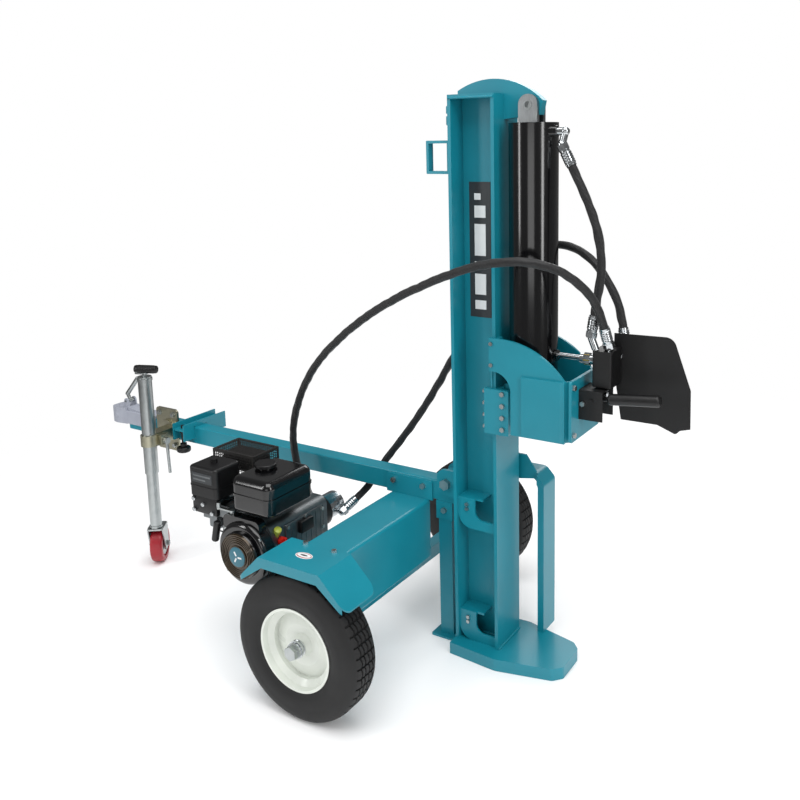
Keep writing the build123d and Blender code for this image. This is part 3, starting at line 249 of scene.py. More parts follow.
def makeFinish(name, look):
    finish = bpy.data.materials.new(name)
    finish.use_nodes = True
    tree = finish.node_tree
    shader = tree.nodes["Principled BSDF"]
    where = addNode(tree, "ShaderNodeTexCoord")
    spread = addNode(
        tree, "ShaderNodeMapping", {"Scale": look.get("stretch", (1, 1, 1))},
        {"Vector": where.outputs["Object"]},
    )
    cloud = addNode(
        tree, "ShaderNodeTexNoise", {"Scale": 1000 / look["cloud"], "Detail": shared["cloudDetail"]},
        {"Vector": spread.outputs[0]},
    )
    tone = addNode(tree, "ShaderNodeMix", {"data_type": "RGBA"}, {0: cloud.outputs[0]})
    tone.inputs[6].default_value = toLinear(look["dark"])
    tone.inputs[7].default_value = toLinear(look["light"])
    low, high = look["rough"]
    shine = addNode(tree, "ShaderNodeMapRange", {"To Min": low, "To Max": high}, {"Value": cloud.outputs[0]})
    grain = addNode(
        tree, "ShaderNodeTexNoise", {"Scale": 1000 / look["grain"], "Detail": shared["grainDetail"]},
        {"Vector": spread.outputs[0]},
    )
    relief = addNode(
        tree, "ShaderNodeBump", {"Strength": shared["bump"], "Distance": look["depth"] * mm},
        {"Height": grain.outputs[0]},
    )
    tree.links.new(tone.outputs[2], shader.inputs["Base Color"])
    tree.links.new(shine.outputs[0], shader.inputs["Roughness"])
    tree.links.new(relief.outputs[0], shader.inputs["Normal"])
    shader.inputs["Metallic"].default_value = look.get("metal", 0)
    shader.inputs["Coat Weight"].default_value = look["coat"]
    shader.inputs["Coat Roughness"].default_value = shared["coatRough"]
    return finish


# woven nylon sleeve over rubber hose: slanted ribs about 6 mm apart, dull with a faint sheen on each fold
sleeveLook = {
    "dark": "#060607", "light": "#141416", "ribScale": 60.0, "ribWarp": 3.0, "ribDetail": 2.0,
    "warpScale": 4.0, "foldScale": 38.0, "foldDetail": 5.0, "bump": 0.7, "depth": 0.5,
    "rough": (0.42, 0.66), "sheen": 0.15,
}


def makeSleeveFinish():
    finish = bpy.data.materials.new("wovenSleeve")
    finish.use_nodes = True
    tree = finish.node_tree
    shader = tree.nodes["Principled BSDF"]
    where = addNode(tree, "ShaderNodeTexCoord")
    warp = addNode(
        tree, "ShaderNodeTexWave",
        {
            "wave_type": "BANDS", "bands_direction": "DIAGONAL", "Scale": sleeveLook["ribScale"],
            "Distortion": sleeveLook["ribWarp"], "Detail": sleeveLook["ribDetail"],
            "Detail Scale": sleeveLook["warpScale"],
        },
        {"Vector": where.outputs["Object"]},
    )
    fold = addNode(
        tree, "ShaderNodeTexNoise", {"Scale": sleeveLook["foldScale"], "Detail": sleeveLook["foldDetail"]},
        {"Vector": where.outputs["Object"]},
    )
    tone = addNode(tree, "ShaderNodeMix", {"data_type": "RGBA"}, {0: fold.outputs[0]})
    tone.inputs[6].default_value = toLinear(sleeveLook["dark"])
    tone.inputs[7].default_value = toLinear(sleeveLook["light"])
    both = addNode(tree, "ShaderNodeMath", {"operation": "ADD"}, {0: warp.outputs["Fac"], 1: fold.outputs[0]})
    relief = addNode(
        tree, "ShaderNodeBump", {"Strength": sleeveLook["bump"], "Distance": sleeveLook["depth"] * mm},
        {"Height": both.outputs[0]},
    )
    low, high = sleeveLook["rough"]
    shine = addNode(tree, "ShaderNodeMapRange", {"To Min": low, "To Max": high}, {"Value": fold.outputs[0]})
    tree.links.new(tone.outputs[2], shader.inputs["Base Color"])
    tree.links.new(shine.outputs[0], shader.inputs["Roughness"])
    tree.links.new(relief.outputs[0], shader.inputs["Normal"])
    shader.inputs["Sheen Weight"].default_value = sleeveLook["sheen"]
    return finish


# paper sweep: solid under the machine and gone further out, so that no edge shows
sweep = {"solid": 1.5, "gone": 3.1}


def makeSweepFinish(paper):
    tree = paper.node_tree
    shader = tree.nodes["Principled BSDF"]
    end = tree.nodes["Material Output"]
    where = addNode(tree, "ShaderNodeTexCoord")
    reach = addNode(tree, "ShaderNodeVectorMath", {"operation": "LENGTH"}, {0: where.outputs["Object"]})
    fade = addNode(
        tree, "ShaderNodeMapRange", {"From Min": sweep["solid"], "From Max": sweep["gone"]},
        {"Value": reach.outputs["Value"]},
    )
    clear = addNode(tree, "ShaderNodeBsdfTransparent")
    both = addNode(
        tree, "ShaderNodeMixShader", {}, {0: fade.outputs[0], 1: shader.outputs[0], 2: clear.outputs[0]},
    )
    tree.links.new(both.outputs[0], end.inputs["Surface"])


finishes = {name: makeFinish(name, look) for name, look in finishValues.items()}
finishes["wovenSleeve"] = makeSleeveFinish()
makeSweepFinish(finishes["studioPaper"])
makeCamera()
makeRoom()
print("camera, room and finishes ready")


# shape helpers
def fromMesh(shape, name, finish, body, smooth=35):
    data = bpy.data.meshes.new(name)
    bmesh.ops.recalc_face_normals(shape, faces=shape.faces)
    shape.to_mesh(data)
    shape.free()
    piece = bpy.data.objects.new(name, data)
    bpy.context.scene.collection.objects.link(piece)
    data.materials.append(finishes[finish])
    data.shade_smooth()
    if smooth:
        data.set_sharp_from_angle(angle=math.radians(smooth))
    if body:
        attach(piece, body)
    return piece


def addBlock(shape, low, high):
    size = [(b - a) * mm for a, b in zip(low, high)]
    middle = [(a + b) / 2 * mm for a, b in zip(low, high)]
    spot = Matrix.Translation(middle) @ Matrix.Diagonal((*size, 1))
    return bmesh.ops.create_cube(shape, size=1, matrix=spot)["verts"]


def roundOff(shape, verts, width, steps=2):
    edges = {edge for vert in verts for edge in vert.link_edges}
    bmesh.ops.bevel(shape, geom=list(edges), offset=width * mm, segments=steps, profile=0.5, affect="EDGES")


def spunPoints(shape, profile, place, sides=64, closed=False):
    # profile is (distance along the axis, radius) in millimetres
    rings = []
    for along, radius in profile:
        ring = []
        for i in range(sides):
            angle = 2 * math.pi * i / sides
            spot = Vector((radius * mm * math.cos(angle), radius * mm * math.sin(angle), along * mm))
            ring.append(shape.verts.new(place @ spot))
        rings.append(ring)
    pairs = list(zip(rings, rings[1:]))
    if closed:
        pairs.append((rings[-1], rings[0]))
    for first, second in pairs:
        for i in range(sides):
            j = (i + 1) % sides
            shape.faces.new((first[i], first[j], second[j], second[i]))
    if not closed:
        shape.faces.new(rings[0])
        shape.faces.new(rings[-1])


def aimed(point, direction):
    turn = Vector(direction).to_track_quat("Z", "Y").to_matrix().to_4x4()
    return Matrix.Translation(Vector(point) * mm) @ turn


def spun(name, profile, point, direction, finish, body, sides=64, closed=False, smooth=35):
    shape = bmesh.new()
    spunPoints(shape, profile, aimed(point, direction), sides, closed)
    return fromMesh(shape, name, finish, body, smooth)


def boxes(name, items, finish, body, width=1.0, steps=2, turn=None):
    shape = bmesh.new()
    for low, high in items:
        roundOff(shape, addBlock(shape, low, high), width, steps)
    if turn:
        shape.transform(turn)
    return fromMesh(shape, name, finish, body)


def splineLine(points, name):
    data = bpy.data.curves.new(name, "CURVE")
    data.dimensions = "3D"
    data.resolution_u = 16
    spline = data.splines.new("NURBS")
    spline.points.add(len(points) - 1)
    for spot, place in zip(spline.points, points):
        spot.co = (*[v * mm for v in place], 1)
    spline.order_u = 3
    spline.use_endpoint_u = True
    guide = bpy.data.objects.new(name, data)
    bpy.context.scene.collection.objects.link(guide)
    bpy.context.view_layer.update()
    line = bpy.data.meshes.new_from_object(guide)
    places = [v.co.copy() for v in line.vertices]
    bpy.data.objects.remove(guide)
    return places


def resample(places, gap):
    found = [places[0].copy()]
    carry = 0.0
    for a, b in zip(places, places[1:]):
        run = (b - a).length
        at = gap - carry
        while at <= run:
            found.append(a.lerp(b, at / run))
            at += gap
        carry = run - (at - gap)
    if (found[-1] - places[-1]).length > gap * 0.4:
        found.append(places[-1].copy())
    else:
        found[-1] = places[-1].copy()
    return found


def tube(shape, places, radiusAt, sides=20):
    side = Vector((0, 0, 1)).cross(places[1] - places[0])
    if side.length < 1e-6:
        side = Vector((1, 0, 0))
    rings = []
    for i, place in enumerate(places):
        ahead = (places[min(i + 1, len(places) - 1)] - places[max(i - 1, 0)]).normalized()
        side = (side - ahead * side.dot(ahead)).normalized()
        other = ahead.cross(side)
        ring = []
        for k in range(sides):
            angle = 2 * math.pi * k / sides
            reach = radiusAt(i, angle)
            ring.append(
                shape.verts.new(place + side * math.cos(angle) * reach + other * math.sin(angle) * reach)
            )
        rings.append(ring)
    for first, second in zip(rings, rings[1:]):
        for k in range(sides):
            j = (k + 1) % sides
            shape.faces.new((first[k], first[j], second[j], second[k]))
    shape.faces.new(rings[0])
    shape.faces.new(rings[-1])


# hoses: control points in millimetres, the same as the solids' routes
hoses = {
    "cylinderHose": dict(node="hose_cylinder", body="mast", route=[
        (203, -20, 1448), (238, -20, 1380), (278, -20, 1285), (291, -20, 1185),
        (278, -19, 1110), (270, -18, 1060)]),
    "pressureHose": dict(node="hose_pressure", body=None, route=[
        (-712, -78, 415), (-733, -85, 478), (-742, -92, 560), (-722, -102, 650),
        (-672, -114, 752), (-598, -127, 850), (-498, -140, 938), (-386, -152, 1018),
        (-268, -163, 1085), (-142, -173, 1142), (-12, -178, 1192), (108, -168, 1214),
        (202, -136, 1200), (262, -90, 1150), (292, -50, 1090), (300, -27, 1030)]),
    "returnHose": dict(node="hose_return", body=None, route=[
        (-556, -8, 372), (-538, 28, 398), (-518, 58, 445), (-482, 74, 502),
        (-430, 84, 570), (-372, 94, 650), (-312, 104, 745), (-252, 113, 850),
        (-190, 121, 960), (-118, 126, 1070), (-30, 127, 1165), (70, 120, 1225),
        (160, 106, 1222), (230, 92, 1180), (280, 82, 1115), (308, 76, 1058),
        (316, 74, 1012)]),
}
hoseLook = {
    "diameter": 24.0, "inset": 0.4, "step": 3.2, "sides": 28,
    "wrinkle": 1.35, "waves": 9, "waveShare": 4, "easeRings": 6,
}


def makeHoses():
    for name, hose in hoses.items():
        line = splineLine(hose["route"], name + "Guide")
        places = resample(line, hoseLook["step"] * mm)
        phases = [
            (random.uniform(0.12, 0.55), random.randint(1, 4), random.uniform(0, 6.3), random.uniform(0.4, 1))
            for _ in range(hoseLook["waves"])
        ]

        def radiusAt(i, angle):
            crumple = sum(
                w * math.sin(f * i + k * angle + p)
                for f, k, p, w in phases
            ) / hoseLook["waveShare"]
            ease = min(1, i / hoseLook["easeRings"], (len(places) - 1 - i) / hoseLook["easeRings"])
            plain = hoseLook["diameter"] / 2 - hoseLook["inset"]
            return (plain + hoseLook["wrinkle"] * crumple * ease) * mm

        shape = bmesh.new()
        tube(shape, places, radiusAt, hoseLook["sides"])
        piece = fromMesh(shape, name, "wovenSleeve", hose["body"], smooth=60)
        if hose["body"] is None:
            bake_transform(piece)
        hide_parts(hose["node"])


makeHoses()

# crimped ferrules: ridges over each hose end, running away from the hose
crimp = {
    "radius": 13.5, "proud": 1.5, "pitch": 7.0, "count": 5, "start": 6.0,
    "rise": 1, "flatEnd": 4.5, "fall": 5.5, "lip": 0.1, "sides": 32,
}


def makeCrimps():
    for name, hose in hoses.items():
        route = hose["route"]
        lowBody = hose["body"] or "frame"
        ends = [(route[0], route[1], lowBody), (route[-1], route[-2], "mast")]
        for tip, inner, body in ends:
            away = Vector(tip) - Vector(inner)
            profile = [(crimp["start"], crimp["radius"])]
            for i in range(crimp["count"]):
                at = crimp["start"] + i * crimp["pitch"]
                high = crimp["radius"] + crimp["proud"]
                low = crimp["radius"] + crimp["lip"]
                profile += [
                    (at + crimp["rise"], high), (at + crimp["flatEnd"], high), (at + crimp["fall"], low),
                ]
            ridge = spun(name + "Crimp", profile, tip, away, "brightFitting", body, crimp["sides"])


makeCrimps()
print("hoses and ferrules ready")


# tyres: outline as (offset from the middle, radius), tread cut by the functions below
tyre = {
    "axle": (-336, 205), "near": -524, "far": 405, "sipes": 44, "sipeDepth": 4.5,
    "grooves": (-22, -8, 8, 22), "grooveHalf": 2.0, "grooveDepth": 5.0, "zig": 3.0,
    "hubSleeve": [
        (
            26, 20.5,
        ), (27, 23), (30, 23), (31, 21), (37, 21), (37.5, 24), (41, 24), (41.5, 21), (46.2, 21), (46.2, 13),
    ],
}


def tyreOutline():
    side = [
        (-30, 118), (-38.5, 115), (-45, 118), (-49, 132), (-51, 136), (-52.3, 158), (-51.5, 162), (-52, 170),
        (-49.5, 184), (-47, 190), (-43, 197), (-38.5, 201),
    ]
    crown = [(-34, 203)]
    for middle in tyre["grooves"]:
        half = tyre["grooveHalf"]
        deep = tyre["grooveDepth"]
        crown += [
            (middle - half - 0.6, 205), (middle - half, 204), (middle - half + 0.8, 205 - deep),
            (middle + half - 0.8, 205 - deep), (middle + half, 204), (middle + half + 0.6, 205),
        ]
    crown.append((34, 203))
    inside = [(30, 118), (40, 150), (36, 186), (0, 192), (-36, 186), (-40, 150)]
    return side + crown + [(-a, r) for a, r in reversed(side[1:])] + inside


def makeTyre(name, node, middle, body):
    outline = tyreOutline()
    count = tyre["sipes"]
    period = 2 * math.pi / count
    steps = [(0.0, 0), (0.28, 0), (0.56, 0), (0.80, 0), (0.84, 1), (0.96, 1)]
    shape = bmesh.new()
    place = aimed((tyre["axle"][0], middle, tyre["axle"][1]), (0, 1, 0))
    rings = []
    for along, radius in outline:
        ring = []
        rib = abs(along) < 36 and radius > 202
        tread = radius > 197
        for k in range(count):
            for share, cut in steps:
                angle = (k + share) * period
                depth = tyre["sipeDepth"] if rib and cut else 0
                sway = tyre["zig"] * (1 - 4 * abs(share - 0.5)) if tread and abs(along) < 30 else 0
                r = (radius - depth) * mm
                spot = Vector((r * math.cos(angle), r * math.sin(angle), (along + sway) * mm))
                ring.append(shape.verts.new(place @ spot))
        rings.append(ring)
    sides = len(rings[0])
    for first, second in zip(rings, rings[1:] + rings[:1]):
        for i in range(sides):
            j = (i + 1) % sides
            shape.faces.new((first[i], first[j], second[j], second[i]))
    piece = fromMesh(shape, name, "tyreRubber", body, 28)
    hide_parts(node)


def makeWheelTrim():
    x, z = tyre["axle"]
    for name, middle, out, body in (
        ("near", tyre["near"], -1, "wheel_near"), ("far", tyre["far"], 1, "wheel_far"),
    ):
        sleeve = spun(
            name + "HubSleeve", tyre["hubSleeve"], (x, middle, z), (0, out, 0), "brightFitting", body, 48,
        )


makeTyre("nearTyre", "tyre_near", tyre["near"], "wheel_near")
makeTyre("farTyre", "tyre_far", tyre["far"], "wheel_far")
makeWheelTrim()
print("tyres ready")


# exhaust: silencer drum inside a perforated guard
exhaust = {
    "low": (-884, -302, 502), "high": (-712, -190, 582), "cell": 8.0, "web": 1.0, "sheet": 1.2,
    "drumLow": (-866, -286, 514), "drumHigh": (-730, -204, 570), "drumCorner": 16,
    "pipe": (
        -800, -226, 462,
    ), "pipeRadius": 13, "pipeDown": 78, "pipeUp": 52, "flangeProud": 9, "flangeThick": 8,
}


def perforated(shape, corner, across, up, border=1):
    # flat panel from corner along two vectors, cut into square windows except at its border
    columns = max(3, round(across.length / exhaust["cell"]))
    rows = max(3, round(up.length / exhaust["cell"]))
    grid = [
        [shape.verts.new((corner + across * i / columns + up * j / rows) * mm) for i in range(columns + 1)]
        for j in range(rows + 1)
    ]
    windows = []
    for j in range(rows):
        for i in range(columns):
            face = shape.faces.new((grid[j][i], grid[j][i + 1], grid[j + 1][i + 1], grid[j + 1][i]))
            if border <= i < columns - border and border <= j < rows - border:
                windows.append(face)
    shape.normal_update()
    bmesh.ops.inset_individual(shape, faces=windows, thickness=exhaust["web"] * mm)
    bmesh.ops.delete(shape, geom=windows, context="FACES")


def makeExhaust():
    low, high = Vector(exhaust["low"]), Vector(exhaust["high"])
    size = high - low
    wide, deep, tall = Vector((size.x, 0, 0)), Vector((0, size.y, 0)), Vector((0, 0, size.z))
    shape = bmesh.new()
    perforated(shape, Vector((low.x, low.y, high.z)), wide, deep)
    perforated(shape, low, wide, tall)
    perforated(shape, Vector((low.x, high.y, low.z)), wide, tall)
    perforated(shape, low, deep, tall)
    perforated(shape, Vector((high.x, low.y, low.z)), deep, tall)
    bmesh.ops.remove_doubles(shape, verts=shape.verts, dist=0.0001)
    guard = fromMesh(shape, "silencerGuard", "exhaustBlack", "frame", 30)
    thick = guard.modifiers.new("sheet", "SOLIDIFY")
    thick.thickness = exhaust["sheet"] * mm
    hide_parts("muffler")
    drum = boxes(
        "silencerDrum", [(exhaust["drumLow"], exhaust["drumHigh"])], "exhaustBlack", "frame",
        exhaust["drumCorner"], 6,
    )
    r = exhaust["pipeRadius"]
    rim, brim = exhaust["flangeThick"], r + exhaust["flangeProud"]
    profile = [(-exhaust["pipeDown"], r), (0, r), (0, brim), (rim, brim), (rim, r), (exhaust["pipeUp"], r)]
    pipe = spun("exhaustPipe", profile, exhaust["pipe"], (0, 0, 1), "exhaustBlack", "frame", 32)
    for piece in (drum, pipe):
        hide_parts("muffler")


makeExhaust()
print("exhaust ready")


# engine trim, positions in millimetres
engine = {
    "crank": (-630, 352), "coverFace": -452, "cupFace": -466, "cylinder": (-748, -285, 388), "lean": 25,
    "cylinderSize": (124, 150, 98), "tankLow": (-684, -432, 470), "tankHigh": (-530, -238, 574),
    "filterLow": (-852, -432, 486), "filterHigh": (-738, -328, 578),
}
# recoil cover: profiles as (distance along the axis, radius), rings as (distance, step in from the ring)
recoil = {
    "rings": (67, 61, 55, 49, 43), "ring": ((0, 0), (2.2, 1), (2.2, 2.6), (0.2, 3.4)),
    "edge": (-3, 68), "middle": ((0.2, 34), (3.4, 33), (3.4, 0.5)),
    "badge": [(0, 30), (1.4, 29.4), (1.8, 27), (1.8, 0.5)], "badgeProud": 3.2,
    "blades": (0, 120, 240), "bladeAt": 11, "bladeProud": 5.2, "bladeSize": (14, 0.6, 5),
    "screw": [
        (0, 6), (3.6, 6), (4.2, 5.2), (4.2, 0.5),
    ], "screws": (40, 135, 225, 315), "screwCircle": 90, "screwLift": 8,
}
# cylinder: distances in its own leaning frame
barrel = {
    "fins": 8, "finProud": 4, "finStart": 8, "finPitch": 12.5, "finThick": 3,
    "coverLong": (20, 1), "coverWide": 46, "coverTall": 34,
    "boot": [(0, 9), (14, 9), (16, 12), (40, 12), (43, 9)], "bootAt": (-70, -62, 0),
}
tanks = {
    "seam": (518, 525), "seamProud": 3, "seamCorner": 29,
    "filterSeam": (516, 519), "filterSeamProud": 1.5, "filterSeamCorner": 15.5,
    "panelZ": (530, 560), "panelInset": 16, "panelProud": 1.4,
    "bars": ((549, 554, 22), (537, 542, 42)), "barInset": 22, "barProud": 1.8,
    "choke": ((-848, -427, 430), (-748, -411, 487)), "knobFace": -426.5,
    "knob": [(0, 6), (3, 7), (6, 7), (8, 5), (8, 0.5)],
    "knobs": ((-838, 474), (-838, 440), (-800, 462), (-764, 440)),
}
# crankcase: heights from the crank's middle, depths in the part's frame
crankcase = {
    "side": 78, "ribs": range(-330, -190, 22), "ribThick": 4, "ribZ": (-60, 62), "ribProud": 5, "sunk": 2,
    "lidY": (-352, -182), "lidZ": (-66, 68), "lidProud": 4,
    "governorY": (-300, -244), "governorZ": (22, 60), "governorProud": 20,
    "bolt": [(0, 6.5), (5, 6.5), (6, 5.5), (6, 0.5)],
    "bolts": ((-344, 58), (-268, 64), (-190, 58), (-344, -56), (-190, -56), (-190, 0)),
    "dipstick": [(0, 9), (14, 9), (16, 11), (26, 11), (28, 8)], "dipstickAt": (-6, -382, 48),
    "oilCap": [(0, 13), (10, 13), (12, 11), (12, 6), (20, 6), (21, 0.5)], "oilCapAt": (-62, -406, -58),
}


def roundedSlab(shape, low, high, corner, steps=6):
    verts = addBlock(shape, low, high)
    edges = [
        e
        for e in {
            edge
            for vert in verts for edge in vert.link_edges
        } if abs(e.verts[0].co.z - e.verts[1].co.z) > 1e-6
    ]
    bmesh.ops.bevel(shape, geom=edges, offset=corner * mm, segments=steps, profile=0.5, affect="EDGES")


def slabPiece(name, low, high, corner, finish, body):
    shape = bmesh.new()
    roundedSlab(shape, low, high, corner)
    piece = fromMesh(shape, name, finish, body, 30)
    return piece


def makeRecoilTrim():
    x, z = engine["crank"]
    face = engine["cupFace"]
    rings = [(along, radius - inward) for radius in recoil["rings"] for along, inward in recoil["ring"]]
    profile = [recoil["edge"], *rings, *recoil["middle"]]
    cup = spun("recoilCupRings", profile, (x, face, z), (0, -1, 0), "bronzeLacquer", "frame", 96)
    at = (x, face - recoil["badgeProud"], z)
    badge = spun("recoilBadge", recoil["badge"], at, (0, -1, 0), "labelBlue", "frame", 64)
    mark = bmesh.new()
    for turn in recoil["blades"]:
        a = math.radians(turn)
        reach = recoil["bladeAt"]
        middle = Vector((x + reach * math.cos(a), face - recoil["bladeProud"], z + reach * math.sin(a)))
        shrink = Matrix.Diagonal((*(v * mm for v in recoil["bladeSize"]), 1))
        spot = Matrix.Translation(middle * mm) @ Matrix.Rotation(-a, 4, "Y") @ shrink
        bmesh.ops.create_cube(mark, size=1, matrix=spot)
    sign = fromMesh(mark, "badgeMark", "labelWhite", "frame")
    for k, turn in enumerate(recoil["screws"]):
        a = math.radians(turn)
        reach = recoil["screwCircle"]
        at = (x + reach * math.cos(a), engine["coverFace"] + recoil["screwLift"], z + reach * math.sin(a))
        screw = spun("coverScrew%d" % k, recoil["screw"], at, (0, -1, 0), "zincPlate", "frame", 6)


def makeCylinderTrim():
    lean = Matrix.Translation(Vector(engine["cylinder"]) * mm) @ Matrix.Rotation(
        math.radians(engine["lean"]), 4, "Y",
    )
    long, wide, tall = engine["cylinderSize"]
    proud = barrel["finProud"]
    items = []
    for k in range(barrel["fins"]):
        at = -long / 2 + barrel["finStart"] + k * barrel["finPitch"]
        items.append((
            (at, -wide / 2 - proud, -tall / 2 - proud),
            (at + barrel["finThick"], wide / 2 + proud, tall / 2 + proud),
        ))
    fins = boxes("coolingFins", items, "castAluminium", "frame", 0.6, 1, lean)
    out, sunk = barrel["coverLong"]
    w, t = barrel["coverWide"], barrel["coverTall"]
    items = [((-long / 2 - out, -w, -t), (-long / 2 + sunk, w, t))]
    cover = boxes("valveCover", items, "castAluminium", "frame", 6, 3, lean)
    boot = bmesh.new()
    place = lean @ Matrix.Translation(
        Vector(barrel["bootAt"]) * mm
    ) @ Matrix.Rotation(math.radians(-90), 4, "Y")
    spunPoints(boot, barrel["boot"], place, 24)
    plug = fromMesh(boot, "sparkPlugBoot", "blackNylon", "frame")


def makeTankTrim():
    low, high = engine["tankLow"], engine["tankHigh"]
    out = tanks["seamProud"]
    under, over = tanks["seam"]
    slabPiece(
        "tankSeam", (low[0] - out, low[1] - out, under), (high[0] + out, high[1] + out, over),
        tanks["seamCorner"], "blackEnamel", "frame",
    )
    low, high = engine["filterLow"], engine["filterHigh"]
    out = tanks["filterSeamProud"]
    under, over = tanks["filterSeam"]
    slabPiece(
        "filterSeam", (low[0] - out, low[1] - out, under), (high[0] + out, high[1] + out, over),
        tanks["filterSeamCorner"], "blackNylon", "frame",
    )
    inset, out = tanks["panelInset"], tanks["panelProud"]
    under, over = tanks["panelZ"]
    items = [((low[0] + inset, low[1] - out, under), (high[0] - inset, low[1] + 1, over))]
    panel = boxes("filterPanel", items, "labelGrey", "frame", 0.6, 1)
    items = [
        ((low[0] + tanks["barInset"], low[1] - tanks["barProud"], under), (high[0] - short, low[1], over))
        for under, over, short in tanks["bars"]
    ]
    bars = boxes("filterPanelBars", items, "castAluminium", "frame", 0.3, 1)
    choke = boxes("chokePanel", [tanks["choke"]], "blackNylon", "frame", 4, 3)
    for k, (at, high) in enumerate(tanks["knobs"]):
        place = (at, tanks["knobFace"], high)
        knob = spun("chokeKnob%d" % k, tanks["knob"], place, (0, -1, 0), "brightFitting", "frame", 24)


def makeCrankcaseTrim():
    x, z = engine["crank"]
    side = x + crankcase["side"]
    sunk = side - crankcase["sunk"]
    low, high = crankcase["ribZ"]
    proud = side + crankcase["ribProud"]
    items = [((sunk, at, z + low), (proud, at + crankcase["ribThick"], z + high)) for at in crankcase["ribs"]]
    ribs = boxes("crankcaseRibs", items, "castAluminium", "frame", 1.2, 2)
    (front, back), (low, high) = crankcase["lidY"], crankcase["lidZ"]
    items = [((sunk, front, z + low), (side + crankcase["lidProud"], back, z + high))]
    lid = boxes("crankcaseLid", items, "castAluminium", "frame", 5, 3)
    (front, back), (low, high) = crankcase["governorY"], crankcase["governorZ"]
    items = [((side + 2, front, z + low), (side + crankcase["governorProud"], back, z + high))]
    governor = boxes("governorBox", items, "blackNylon", "frame", 4, 3)
    for k, (at, high) in enumerate(crankcase["bolts"]):
        place = (side + crankcase["lidProud"], at, z + high)
        stud = spun("caseBolt%d" % k, crankcase["bolt"], place, (1, 0, 0), "zincPlate", "frame", 6)
    dx, y, dz = crankcase["dipstickAt"]
    dipstick = spun(
        "dipstick", crankcase["dipstick"], (
            side + dx, y, z + dz,
        ), (0.5, -0.2, 0.85), "limePlastic", "frame", 24,
    )
    dx, y, dz = crankcase["oilCapAt"]
    cap = spun("oilCap", crankcase["oilCap"], (x + dx, y, z + dz), (0, -1, 0), "limePlastic", "frame", 24)


makeRecoilTrim()
makeCylinderTrim()
makeTankTrim()
makeCrankcaseTrim()
print("engine trim ready")


# mast, tongue and jockey trim, positions in millimetres
trim = {
    "webFace": -4, "labelX": (-116, -47), "labelZ": (1019, 1404),
    "fenderLabel": (-345, -504), "fenderTop": 442, "jockey": (-1380, -142), "jockeyCrankTurn": 20,
    "gripLow": -34, "gripHigh": 50, "gripZ": 738, "gripRadius": 14.0,
    "wheelTurn": 36, "wheelTrail": 28, "wheelRadius": 65,
    # bars up the label: share of its height, bar height, share of its width
    "bars": (
        (0.06, 26, 0.52), (0.17, 60, 0.52), (0.38, 14, 0.36), (0.46, 90, 0.52), (0.74, 34, 0.52),
        (0.87, 18, 0.3),
    ),
    "barLeft": 0.24, "barProud": 1.4, "plateProud": 0.9, "plateSunk": 0.5,
    "knurls": 9, "knurlStart": 12, "knurl": ((0, 0), (2, 0.9), (6, 0.9), (8, 0)),
    "disc": [(0, 40), (1.2, 40), (2, 38), (2, 24), (4.5, 21), (4.5, 7)], "discOut": 17.5,
    "nut": [(0, 9.5), (7, 9.5), (8, 8.5), (8, 0.5)], "nutOut": 28.6,
    "band": [(0, 24), (0, 26.5), (9, 26.5), (9, 24)], "bandZ": 697,
    "bolt": [(0, 11), (2, 11), (2, 8.5), (9, 8.5), (10, 7.5), (10, 0.5)], "boltFace": -35,
    "bolts": ((-1444, 424), (-1372, 424), (-1444, 540), (-1372, 540)),
}


def makeLabels():
    face = trim["webFace"]
    x0, x1 = trim["labelX"]
    z0, z1 = trim["labelZ"]
    items = [((x0, face - trim["plateProud"], z0), (x1, face + trim["plateSunk"], z1))]
    plate = boxes("beamLabel", items, "labelGrey", "mast", 0.3, 1)
    bars = []
    left = x0 + (x1 - x0) * trim["barLeft"]
    for at, tall, wide in trim["bars"]:
        low = z0 + (z1 - z0) * at
        bars.append(((left, face - trim["barProud"], low), (left + (x1 - x0) * wide, face, low + tall)))
    print(len(bars), "bars on the beam label")
    light = boxes("beamLabelBars", bars, "labelWhite", "mast", 0.2, 1)
    x, y = trim["fenderLabel"]
    for name, size, lift, finish in (
        ("fenderLabelRim", (27, 15), 0.5, "labelWhite"), ("fenderLabelField", (24, 12), 0.9, "labelRed"),
        ("fenderLabelCentre", (22, 9.5), 1.3, "labelWhite"), ("fenderLabelBar", (12, 3), 1.7, "labelGrey"),
    ):
        shape = bmesh.new()
        top = trim["fenderTop"] + lift
        place = Matrix.Translation(Vector((x, y, top)) * mm) @ Matrix.Diagonal((size[0], size[1], 1, 1))
        spunPoints(shape, [(-1, 1), (0, 1)], place, 48)
        oval = fromMesh(shape, name, finish, "frame")


